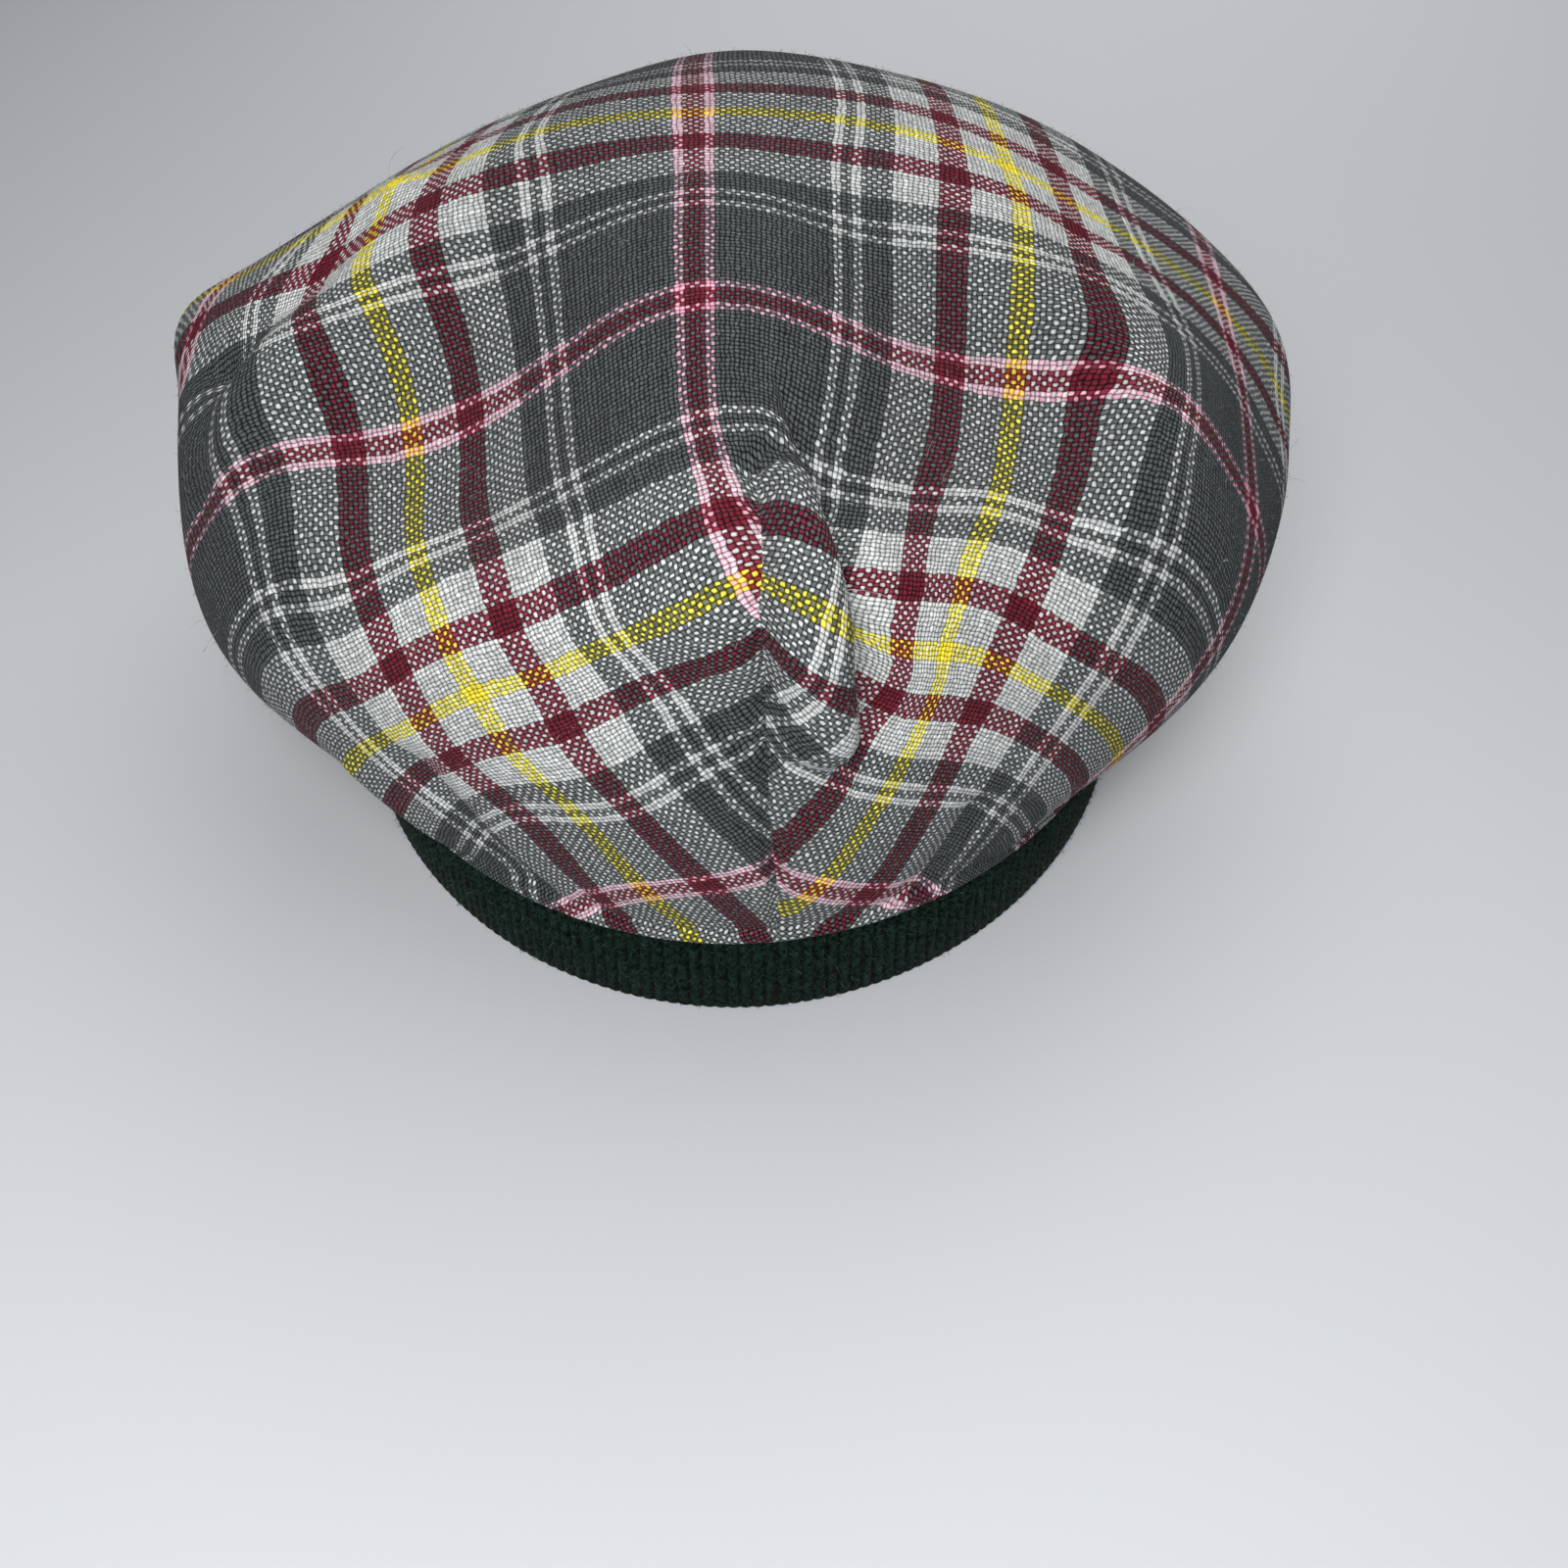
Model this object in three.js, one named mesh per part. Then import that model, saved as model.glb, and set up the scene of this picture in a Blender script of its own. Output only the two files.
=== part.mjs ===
// Flat cap: one plaid cloth piece with a long dart at the back, a rib-knit band and a short stiff peak.
// Millimetres. +Z is up, +Y is the front (the peak), +X is the right side seen from behind.
// Pieces: crown, band, peak. The cap stands on the band's lower edge.

import * as THREE from 'three';

// Head opening and band
const BAND_HALF_WIDTH = 89;
const BAND_HALF_LENGTH = 104;
const BAND_SQUARENESS = 1.95;
const BAND_HEIGHT = 25;
const BAND_WALL = 3;
const BAND_STEPS = 96;

// Gap between neighbouring pieces
const SEAM_GAP = 0.3;

// Crown cloth
const CROWN_WALL = 2;
const CROWN_TOP = 132;
const CROWN_TOP_FORWARD = 5;
const CROWN_COLUMNS = 88;
const CROWN_BACK_CROWDING = 0.6;
const CROWN_UNDER_STEPS = 8;
const CROWN_ROOF_STEPS = 18;
const CROWN_TOP_ROUNDNESS = 2;
const CROWN_TOP_BLEND = 0.45;

// Small steps up and round the crown that give its outward direction
const SLOPE_STEP_UP = 0.02;
const SLOPE_STEP_TURN = 1.2;

// Crown sections. from_back: turn of the section from the middle of the back, towards the right, in degrees.
// reach: widest point's distance from the middle of the opening. widest: its height. corner: height where
// the underside would meet the widest wall. tuck: 1 is a full underside, 2 a lean one. roof: 1 is a straight
// slope down from the top, larger is flatter on top with a rounder shoulder.
const SECTIONS = [
  { from_back: -180, reach: 135, widest: 19, corner: 12, tuck: 1.0, roof: 2.5 },
  { from_back: -150, reach: 130, widest: 28, corner: 14, tuck: 1.0, roof: 2.1 },
  { from_back: -120, reach: 118, widest: 58, corner: 23, tuck: 1.0, roof: 1.7 },
  { from_back: -90, reach: 114, widest: 80, corner: 25, tuck: 1.2, roof: 1.5 },
  { from_back: -60, reach: 116, widest: 62, corner: 26, tuck: 1.6, roof: 1.6 },
  { from_back: -30, reach: 111, widest: 78, corner: 27, tuck: 1.7, roof: 2.1 },
  { from_back: 0, reach: 116, widest: 106, corner: 28, tuck: 1.7, roof: 3.4 },
  { from_back: 30, reach: 111, widest: 78, corner: 27, tuck: 1.7, roof: 2.1 },
  { from_back: 60, reach: 114, widest: 66, corner: 26, tuck: 1.6, roof: 1.6 },
  { from_back: 90, reach: 115, widest: 79, corner: 25, tuck: 1.3, roof: 1.7 },
  { from_back: 120, reach: 118, widest: 62, corner: 23, tuck: 1.0, roof: 2.2 },
  { from_back: 150, reach: 130, widest: 29, corner: 14, tuck: 1.0, roof: 2.4 },
];

// Broad hollows of the roof on both sides of the ridge that runs from the top to the dart. They fade out
// towards the widest line: a larger HOLLOW_FADE keeps them closer to it.
const HOLLOW_FADE = 6;
const HOLLOWS = [
  { x: -52, y: -54, run_turn: -57, half_run: 60, half_width: 28, drop: 22 },
  { x: 48, y: -54, run_turn: 237, half_run: 60, half_width: 28, drop: 16 },
];

// Folds. Each runs over the crown between two places, given as the turn from the middle of the back and the
// place up the section: 0 at the band, 1 at the widest point, 2 at the top.
// lift: height of the fold at its two ends, below zero for a crease.
const FOLDS = [
  { name: 'roll beside the dart', from: [7.5, 1.5], to: [8.5, 0.72], half_width: 8, lift: [2.5, 4] },
  { name: 'crease beside the roll', from: [13, 1.5], to: [14, 0.66], half_width: 6, lift: [-3, -5] },
  { name: 'dart seam', from: [3, 1.28], to: [4.6, 0], half_width: 4, lift: [-2, -2] },
  { name: 'pucker over the dart', from: [4, 1.5], to: [4, 1.46], half_width: 6, lift: [-2.5, -2.5] },
  { name: 'dart point', from: [2, 1.24], to: [2, 1.14], half_width: 14, lift: [2.5, 2.5] },
  { name: 'left shoulder crease', from: [-88, 1.46], to: [-80, 1.24], half_width: 8, lift: [-2, -3] },
  { name: 'left side crease', from: [-80, 1.24], to: [-66, 1.18], half_width: 8, lift: [-3, -1.5] },
  { name: 'left corner', from: [-96, 1.02], to: [-94, 1.1], half_width: 13, lift: [5, 5] },
  { name: 'left gather', from: [-30, 0.75], to: [-22, 0.15], half_width: 5, lift: [-2, -2] },
  { name: 'left gather ridge', from: [-40, 0.65], to: [-33, 0.15], half_width: 5, lift: [2, 2] },
  { name: 'right gather', from: [24, 0.62], to: [19, 0.12], half_width: 5, lift: [-2, -2] },
];
const FOLD_PIECES = 12;
// Share of the underside over which the folds die out at the band
const FOLD_FADE = 0.15;

// Peak
const PEAK_DEPTH = 44;
const PEAK_END_DEPTH = 3;
const PEAK_HALF_SPAN = 64;
const PEAK_FULLNESS = 0.62;
const PEAK_THICK = 3.5;
const PEAK_TOP_AT_BAND = 24.4;
const PEAK_SPAN_STEPS = 30;
const PEAK_DEPTH_STEPS = 6;
const PEAK_EDGE_ROUND = 1.2;
const PEAK_GAP = 0.4;

const rad = THREE.MathUtils.degToRad;

// Distance of the band's outer face from the middle of the opening.
function bandRadius(fromBack) {
  const side = Math.abs(Math.sin(rad(fromBack)) / BAND_HALF_WIDTH);
  const long = Math.abs(Math.cos(rad(fromBack)) / BAND_HALF_LENGTH);
  return (side ** BAND_SQUARENESS + long ** BAND_SQUARENESS) ** (-1 / BAND_SQUARENESS);
}

// One column of the section table, run smoothly round the cap.
function sectionValue(column, fromBack) {
  const count = SECTIONS.length;
  const place = (fromBack - SECTIONS[0].from_back) / (360 / count);
  const first = Math.floor(place);
  const t = place - first;
  const row = (k) => SECTIONS[(((first + k) % count) + count) % count][column];
  const [a, b, c, d] = [row(-1), row(0), row(1), row(2)];
  const curve = (2 * a - 5 * b + 4 * c - d) * t + (3 * b - a - 3 * c + d) * t * t;
  return 0.5 * (2 * b + (c - a) * t + curve * t);
}

// Smooth crown without folds: fromBack turns round the cap, up runs 0 to 2 from the band to the top.
function smoothCrown(fromBack, up) {
  const reach = sectionValue('reach', fromBack);
  const widest = sectionValue('widest', fromBack);
  const corner = sectionValue('corner', fromBack);
  const foot = BAND_HEIGHT + SEAM_GAP;
  let radius = reach;
  let height = widest;
  let forward = 0;
  let roofShare = 0;
  if (up <= 1) {
    const turn = (up * Math.PI) / 2;
    const out = Math.sin(turn) ** sectionValue('tuck', fromBack);
    const middle = foot + widest - corner;
    const seam = bandRadius(fromBack);
    radius = seam + (reach - seam) * out;
    height = middle + (foot - middle) * Math.cos(turn) + (widest - middle) * out;
  } else {
    const share = Math.cos(((up - 1) * Math.PI) / 2);
    const blend = THREE.MathUtils.smoothstep(share, 0, CROWN_TOP_BLEND);
    const roof = CROWN_TOP_ROUNDNESS + (sectionValue('roof', fromBack) - CROWN_TOP_ROUNDNESS) * blend;
    radius = reach * share;
    height = widest + (CROWN_TOP - widest) * Math.sqrt(Math.max(0, 1 - share ** roof));
    forward = CROWN_TOP_FORWARD * (1 - share);
    roofShare = 1 - share ** HOLLOW_FADE;
  }
  const x = radius * Math.sin(rad(fromBack));
  const y = forward - radius * Math.cos(rad(fromBack));
  for (const hollow of HOLLOWS) {
    const cos = Math.cos(rad(hollow.run_turn));
    const sin = Math.sin(rad(hollow.run_turn));
    const along = ((x - hollow.x) * cos + (y - hollow.y) * sin) / hollow.half_run;
    const across = ((y - hollow.y) * cos - (x - hollow.x) * sin) / hollow.half_width;
    height -= roofShare * hollow.drop * Math.exp(-along * along - across * across);
  }
  return new THREE.Vector3(x, y, height);
}

// Outward direction of the smooth crown.
function crownOutward(fromBack, up) {
  const highest = 2 - 2 * SLOPE_STEP_UP;
  const low = Math.min(Math.max(up - SLOPE_STEP_UP / 2, 0), highest);
  const rise = smoothCrown(fromBack, low + SLOPE_STEP_UP).sub(smoothCrown(fromBack, low));
  const level = Math.min(up, highest);
  const aside = SLOPE_STEP_TURN / 2;
  const round = smoothCrown(fromBack + aside, level).sub(smoothCrown(fromBack - aside, level));
  return round.cross(rise).normalize();
}

// Middle line of a fold, laid on the smooth crown.
function foldLine(fold) {
  const points = [];
  for (let k = 0; k <= FOLD_PIECES; k += 1) {
    const t = k / FOLD_PIECES;
    const turn = THREE.MathUtils.lerp(fold.from[0], fold.to[0], t);
    points.push(smoothCrown(turn, THREE.MathUtils.lerp(fold.from[1], fold.to[1], t)));
  }
  return points;
}

const FOLD_LINES = FOLDS.map(foldLine);

// How far the folds lift the cloth at a point.
function foldLift(point, up) {
  const near = new THREE.Vector3();
  const piece = new THREE.Line3();
  let lift = 0;
  FOLDS.forEach((fold, n) => {
    let best = Infinity;
    let place = 0;
    for (let k = 0; k < FOLD_PIECES; k += 1) {
      piece.set(FOLD_LINES[n][k], FOLD_LINES[n][k + 1]);
      const t = piece.closestPointToPointParameter(point, true);
      const distance = piece.at(t, near).distanceTo(point);
      if (distance < best) {
        best = distance;
        place = (k + t) / FOLD_PIECES;
      }
    }
    const height = THREE.MathUtils.lerp(fold.lift[0], fold.lift[1], place);
    lift += height * Math.exp(-((best / fold.half_width) ** 2));
  });
  return lift * Math.min(1, up / FOLD_FADE);
}

// Turns of the crown's columns, closer together at the back where the folds are.
function columnTurn(k) {
  const t = -1 + (2 * k) / CROWN_COLUMNS;
  return 180 * (t - (CROWN_BACK_CROWDING / Math.PI) * Math.sin(Math.PI * t));
}

// Adds a closed strip between two rings of equal count, facing left of the run.
function joinRings(faces, low, high, count) {
  for (let k = 0; k < count; k += 1) {
    const next = (k + 1) % count;
    faces.push(low + k, low + next, high + next);
    faces.push(low + k, high + next, high + k);
  }
}

function meshFrom(name, points, faces, colour) {
  const geometry = new THREE.BufferGeometry();
  geometry.setFromPoints(points);
  geometry.setIndex(faces);
  geometry.computeVertexNormals();
  const mesh = new THREE.Mesh(geometry, new THREE.MeshStandardMaterial({ color: colour, roughness: 0.9 }));
  mesh.name = name;
  return mesh;
}

// Crown: outer face, inner face one wall further in, and the raw edge between them at the band.
function buildCrown() {
  const rows = CROWN_UNDER_STEPS + CROWN_ROOF_STEPS;
  const outer = [];
  const inner = [];
  for (let j = 0; j < rows; j += 1) {
    const above = j - CROWN_UNDER_STEPS;
    const up = 1 + above / (above < 0 ? CROWN_UNDER_STEPS : CROWN_ROOF_STEPS);
    for (let k = 0; k < CROWN_COLUMNS; k += 1) {
      const turn = columnTurn(k);
      const outward = crownOutward(turn, up);
      const point = smoothCrown(turn, up);
      point.addScaledVector(outward, foldLift(point, up));
      outer.push(point);
      const back = point.clone().addScaledVector(outward, -CROWN_WALL);
      back.z = Math.max(back.z, BAND_HEIGHT + SEAM_GAP);
      inner.push(back);
    }
  }
  const top = smoothCrown(0, 2);
  const points = [...outer, top, ...inner, top.clone().setZ(top.z - CROWN_WALL)];
  const faces = [];
  const innerFaces = [];
  const innerStart = outer.length + 1;
  for (let j = 0; j < rows - 1; j += 1) {
    joinRings(faces, j * CROWN_COLUMNS, (j + 1) * CROWN_COLUMNS, CROWN_COLUMNS);
  }
  for (let k = 0; k < CROWN_COLUMNS; k += 1) {
    const last = (rows - 1) * CROWN_COLUMNS;
    faces.push(last + k, last + ((k + 1) % CROWN_COLUMNS), outer.length);
  }
  for (let n = 0; n < faces.length; n += 3) {
    innerFaces.push(faces[n] + innerStart, faces[n + 2] + innerStart, faces[n + 1] + innerStart);
  }
  joinRings(innerFaces, innerStart, 0, CROWN_COLUMNS);
  return meshFrom('crown', points, [...faces, ...innerFaces], 0x6b7072);
}

// Band: plain standing ring with a flat lower edge.
function buildBand() {
  const rings = [
    { inset: 0, height: 0 },
    { inset: 0, height: BAND_HEIGHT },
    { inset: BAND_WALL, height: BAND_HEIGHT },
    { inset: BAND_WALL, height: 0 },
  ];
  const points = [];
  const faces = [];
  rings.forEach((ring, j) => {
    for (let k = 0; k < BAND_STEPS; k += 1) {
      const turn = -180 + (360 * k) / BAND_STEPS;
      const radius = bandRadius(turn) - ring.inset;
      const x = radius * Math.sin(rad(turn));
      points.push(new THREE.Vector3(x, -radius * Math.cos(rad(turn)), ring.height));
    }
    joinRings(faces, j * BAND_STEPS, ((j + 1) % rings.length) * BAND_STEPS, BAND_STEPS);
  });
  return meshFrom('band', points, faces, 0x1d2b26);
}

// Peak: crescent board that slopes from the band down to the ground.
function buildPeak() {
  const slope = (PEAK_TOP_AT_BAND - PEAK_THICK) / PEAK_DEPTH;
  const points = [];
  const faces = [];
  const loop = 2 * (PEAK_DEPTH_STEPS + 1) + 1;
  for (let k = 0; k <= PEAK_SPAN_STEPS; k += 1) {
    const turn = -PEAK_HALF_SPAN + (2 * PEAK_HALF_SPAN * k) / PEAK_SPAN_STEPS;
    const fullness = Math.max(0, 1 - (turn / PEAK_HALF_SPAN) ** 2) ** PEAK_FULLNESS;
    const depth = PEAK_END_DEPTH + (PEAK_DEPTH - PEAK_END_DEPTH - PEAK_EDGE_ROUND) * fullness;
    const inner = bandRadius(180 + turn) + PEAK_GAP;
    const place = (out, drop) => {
      const radius = inner + out;
      const height = PEAK_TOP_AT_BAND - slope * out - drop;
      const x = radius * Math.sin(rad(turn));
      points.push(new THREE.Vector3(x, radius * Math.cos(rad(turn)), height));
    };
    for (let j = 0; j <= PEAK_DEPTH_STEPS; j += 1) {
      place((depth * j) / PEAK_DEPTH_STEPS, 0);
    }
    place(depth + PEAK_EDGE_ROUND, PEAK_THICK / 2);
    for (let j = PEAK_DEPTH_STEPS; j >= 0; j -= 1) {
      place((depth * j) / PEAK_DEPTH_STEPS, PEAK_THICK);
    }
  }
  for (let k = 0; k < PEAK_SPAN_STEPS; k += 1) {
    for (let j = 0; j < loop; j += 1) {
      const next = (j + 1) % loop;
      const a = k * loop + j;
      const b = k * loop + next;
      faces.push(a, b + loop, b);
      faces.push(a, a + loop, b + loop);
    }
  }
  const end = PEAK_SPAN_STEPS * loop;
  for (let j = 0; j < PEAK_DEPTH_STEPS; j += 1) {
    const under = loop - 1 - j;
    faces.push(j, j + 1, under);
    faces.push(j + 1, under - 1, under);
    faces.push(end + j, end + under, end + j + 1);
    faces.push(end + j + 1, end + under, end + under - 1);
  }
  const tip = PEAK_DEPTH_STEPS;
  faces.push(tip, tip + 1, tip + 2);
  faces.push(end + tip, end + tip + 2, end + tip + 1);
  return meshFrom('peak', points, faces, 0x6b7072);
}

const group = new THREE.Group();
group.name = 'flat_cap';
group.add(buildCrown(), buildBand(), buildPeak());

// The middle of the whole cap, on the ground, is the origin.
const box = new THREE.Box3().setFromObject(group);
const middle = box.getCenter(new THREE.Vector3());
group.position.set(-middle.x, -middle.y, -box.min.z);

export default group;
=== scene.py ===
# %% [markdown]
# # A plaid flat cap
# The cap is one piece of plaid cloth with a long dart at the back, sewn to a rib-knit band, with a short
# stiff peak in front. The frame holds these three as plain solids, in metres. This lesson dresses them: the
# crown becomes thin folded cloth with its plaid laid along the threads, the band is knitted rib by rib, the
# peak is covered, and a little fluff stands off the cloth.

# %% Frame
import math

import bpy
import numpy as np
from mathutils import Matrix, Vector, noise


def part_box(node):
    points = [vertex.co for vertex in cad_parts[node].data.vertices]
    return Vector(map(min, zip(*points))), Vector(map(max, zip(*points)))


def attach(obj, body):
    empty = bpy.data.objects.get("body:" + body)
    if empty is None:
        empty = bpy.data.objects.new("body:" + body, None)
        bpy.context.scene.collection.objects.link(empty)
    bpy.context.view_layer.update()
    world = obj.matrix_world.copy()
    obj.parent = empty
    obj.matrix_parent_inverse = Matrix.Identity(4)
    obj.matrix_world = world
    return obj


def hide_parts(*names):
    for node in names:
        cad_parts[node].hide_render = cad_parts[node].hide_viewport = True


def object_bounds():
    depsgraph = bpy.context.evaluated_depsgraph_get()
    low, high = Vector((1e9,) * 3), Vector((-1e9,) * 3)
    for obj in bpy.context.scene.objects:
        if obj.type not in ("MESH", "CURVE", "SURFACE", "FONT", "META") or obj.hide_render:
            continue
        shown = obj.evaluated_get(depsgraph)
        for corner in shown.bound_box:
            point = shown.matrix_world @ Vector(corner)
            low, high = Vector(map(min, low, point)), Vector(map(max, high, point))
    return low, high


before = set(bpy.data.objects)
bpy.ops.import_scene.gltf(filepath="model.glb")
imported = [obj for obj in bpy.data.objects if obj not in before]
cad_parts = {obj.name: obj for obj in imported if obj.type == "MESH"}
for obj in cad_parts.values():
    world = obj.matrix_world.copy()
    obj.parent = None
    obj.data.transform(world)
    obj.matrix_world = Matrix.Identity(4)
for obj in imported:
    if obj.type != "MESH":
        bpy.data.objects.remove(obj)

cad_box = [list(corner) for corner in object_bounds()]
MM = 0.001
TURNED_OVER = [0, 3, 2, 1]
band_low, band_high = (np.array(corner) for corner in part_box("band"))
RIM_MIDDLE = np.array([*(band_low + band_high)[:2] / 2, band_low[2]])
BAND_HEIGHT = (band_high[2] - band_low[2]) / MM
BAND_HALF_WIDTH, BAND_HALF_LENGTH = (band_high - band_low)[:2] / 2 / MM
print("band", round(2 * BAND_HALF_WIDTH), "by", round(2 * BAND_HALF_LENGTH), "mm")


# %% [markdown]
# ## From the head opening to the frame
# All sewing sizes below are in millimetres from the middle of the head opening, with the back towards -Y.
# One function carries them into the frame, and another turns lists of points and faces into an object at
# the origin with its place in its mesh. Others join a grid of points into faces and map a mesh on the cloth.

# %% Placing helpers
def to_frame(points):
    return np.asarray(points) * MM + RIM_MIDDLE


def link_object(name, data):
    piece = bpy.data.objects.new(name, data)
    bpy.context.scene.collection.objects.link(piece)
    return piece


def add_object(name, points, faces):
    mesh = bpy.data.meshes.new(name)
    mesh.from_pydata(to_frame(points).tolist(), [], faces)
    mesh.shade_smooth()
    return link_object(name, mesh)


def grid_faces(rows, columns, rows_close=False, columns_close=True):
    """Faces between neighbours in a grid of points, which may close on itself either way."""
    row = np.arange(rows if rows_close else rows - 1)[:, None]
    column = np.arange(columns if columns_close else columns - 1)
    next_row, next_column = (row + 1) % rows, (column + 1) % columns
    pairs = ((row, column), (next_row, column), (next_row, next_column), (row, next_column))
    return np.stack([r * columns + c for r, c in pairs], -1).reshape(-1, 4)


def lay_cloth(mesh, places):
    """Puts each point's place on the cloth, in millimetres, on the corners of the faces round it."""
    corner_points = [loop.vertex_index for loop in mesh.loops]
    corner_places = np.array(places)[corner_points] * MM
    mesh.uv_layers.new(name="cloth").data.foreach_set("uv", corner_places.ravel())


def around(radius, turn, height):
    """Points at a radius and a height, turned round from the back in degrees."""
    return np.stack([radius * np.sin(np.radians(turn)), -radius * np.cos(np.radians(turn)), height], -1)


def linear(red, green, blue):
    """A colour read from the photograph, as the light values that a shader takes."""
    def one(value):
        value /= 255
        return value / 12.92 if value <= 0.04045 else ((value + 0.055) / 1.055) ** 2.4
    return (one(red), one(green), one(blue), 1.0)


# %% [markdown]
# ## Camera
# The photograph looks down at the back of the cap from arm's length, with the short lens of a phone. The
# plaid is matched to the photograph later, so the same camera is also kept as a plain function that gives
# the column and row of any point.

# %% Camera
PHOTO_PIXELS = 1600
FOCAL_PIXELS = 1570
CAMERA_DIP = math.radians(45)
CAMERA_PLACE = np.array([10.0, -289.0, 249.0])
SENSOR_WIDTH = 36

camera_data = bpy.data.cameras.new("photo_camera")
camera_data.sensor_width = SENSOR_WIDTH
camera_data.lens = SENSOR_WIDTH * FOCAL_PIXELS / PHOTO_PIXELS
camera_data.clip_start = 0.01
camera = link_object("photo_camera", camera_data)
camera.location = to_frame(CAMERA_PLACE)
camera.rotation_euler = (math.pi / 2 - CAMERA_DIP, 0, 0)
bpy.context.scene.camera = camera


def photo_place(points):
    """Column and row in the photograph, and the distance along the view, of points in millimetres."""
    offset = points - CAMERA_PLACE
    sine, cosine = math.sin(CAMERA_DIP), math.cos(CAMERA_DIP)
    depth = offset[..., 1] * cosine - offset[..., 2] * sine
    column = PHOTO_PIXELS / 2 + FOCAL_PIXELS * offset[..., 0] / depth
    row = PHOTO_PIXELS / 2 - FOCAL_PIXELS * (offset[..., 1] * sine + offset[..., 2] * cosine) / depth
    return column, row, depth


print("lens", round(camera_data.lens, 1), "mm")

# %% [markdown]
# ## The crown's form
# Cloth over a head could be simulated, but then every fold would fall where it likes. The photograph shows
# where they fell, so the crown is lofted instead: a row of sizes for each section round the head, two broad
# hollows beside the ridge, and a table of folds. The sections repeat the sizes of the frame's solid.

# %% Crown sections
SEAM_GAP = 0.3
CROWN_TOP = 132
TOP_FORWARD = 5
TOP_ROUNDNESS = 2
TOP_BLEND = 0.45
HOLLOW_FADE = 6
BAND_SQUARENESS = 1.95
FOOT = BAND_HEIGHT + SEAM_GAP

SECTION_COLUMNS = ("from_back", "reach", "widest", "corner", "tuck", "roof")
SECTIONS = np.array([
    (-180, 135, 19, 12, 1.0, 2.5),
    (-150, 130, 28, 14, 1.0, 2.1),
    (-120, 118, 58, 23, 1.0, 1.7),
    (-90, 114, 80, 25, 1.2, 1.5),
    (-60, 116, 62, 26, 1.6, 1.6),
    (-30, 111, 78, 27, 1.7, 2.1),
    (0, 116, 106, 28, 1.7, 3.4),
    (30, 111, 78, 27, 1.7, 2.1),
    (60, 114, 66, 26, 1.6, 1.6),
    (90, 115, 79, 25, 1.3, 1.7),
    (120, 118, 62, 23, 1.0, 2.2),
    (150, 130, 29, 14, 1.0, 2.4),
])

HOLLOW_COLUMNS = ("x", "y", "run_turn", "half_run", "half_width", "drop")
HOLLOWS = [
    (-52, -54, -57, 60, 28, 22),
    (48, -54, 237, 60, 28, 16),
]


def section_value(column, turn):
    """One column of the section table, run smoothly round the cap."""
    values = SECTIONS[:, SECTION_COLUMNS.index(column)]
    place = (turn + 180) / 360 * len(values)
    first = np.floor(place).astype(int)
    t = place - first
    a, b, c, d = (values[(first + k) % len(values)] for k in (-1, 0, 1, 2))
    return b + t / 2 * (c - a + t * (2 * a - 5 * b + 4 * c - d + t * (3 * b - a - 3 * c + d)))


def band_radius(turn):
    side = np.abs(np.sin(np.radians(turn))) / BAND_HALF_WIDTH
    long = np.abs(np.cos(np.radians(turn))) / BAND_HALF_LENGTH
    return (side ** BAND_SQUARENESS + long ** BAND_SQUARENESS) ** (-1 / BAND_SQUARENESS)


def smooth_crown(turn, up):
    """Crown without folds. turn goes round from the back, up from 0 at the band over 1 to 2 at the top."""
    turn, up = np.broadcast_arrays(np.asarray(turn, float), np.asarray(up, float))
    reach, widest = section_value("reach", turn), section_value("widest", turn)
    seam = band_radius(turn)
    bend = np.clip(up, 0, 1) * math.pi / 2
    out = np.sin(bend) ** section_value("tuck", turn)
    middle = FOOT + widest - section_value("corner", turn)
    under_radius = seam + (reach - seam) * out
    under_height = middle + (FOOT - middle) * np.cos(bend) + (widest - middle) * out
    share = np.cos(np.clip(up - 1, 0, 1) * math.pi / 2)
    near_top = np.clip(share / TOP_BLEND, 0, 1)
    blend = near_top * near_top * (3 - 2 * near_top)
    roof = TOP_ROUNDNESS + (section_value("roof", turn) - TOP_ROUNDNESS) * blend
    roof_height = widest + (CROWN_TOP - widest) * np.sqrt(np.maximum(0, 1 - share ** roof))
    radius = np.where(up <= 1, under_radius, reach * share)
    height = np.where(up <= 1, under_height, roof_height)
    x = radius * np.sin(np.radians(turn))
    y = np.where(up <= 1, 0, TOP_FORWARD * (1 - share)) - radius * np.cos(np.radians(turn))
    for row in HOLLOWS:
        hollow = dict(zip(HOLLOW_COLUMNS, row))
        cosine, sine = np.cos(np.radians(hollow["run_turn"])), np.sin(np.radians(hollow["run_turn"]))
        along = ((x - hollow["x"]) * cosine + (y - hollow["y"]) * sine) / hollow["half_run"]
        across = ((y - hollow["y"]) * cosine - (x - hollow["x"]) * sine) / hollow["half_width"]
        depth = np.where(up <= 1, 0, 1 - share ** HOLLOW_FADE) * hollow["drop"]
        height = height - depth * np.exp(-along ** 2 - across ** 2)
    return np.stack([x, y, height], -1)


def outward(turn, up, up_step=0.02, turn_step=0.6):
    """Direction straight off the smooth crown."""
    turn = np.asarray(turn)
    low = np.clip(np.asarray(up) - up_step / 2, 0, 2 - 2 * up_step)
    rise = smooth_crown(turn, low + up_step) - smooth_crown(turn, low)
    level = np.minimum(up, 2 - 2 * up_step)
    across = smooth_crown(turn + turn_step, level) - smooth_crown(turn - turn_step, level)
    normal = np.cross(across, rise)
    return normal / np.linalg.norm(normal, axis=-1, keepdims=True)


print("sections", len(SECTIONS))

# %% [markdown]
# ## Folds
# Each fold is a ridge or a crease along a short line over the crown. A line's points are the turn from the
# middle of the back and the place up the section. The dart's seam pulls a groove and puckers, and small
# gathers run up from the band.

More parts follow.
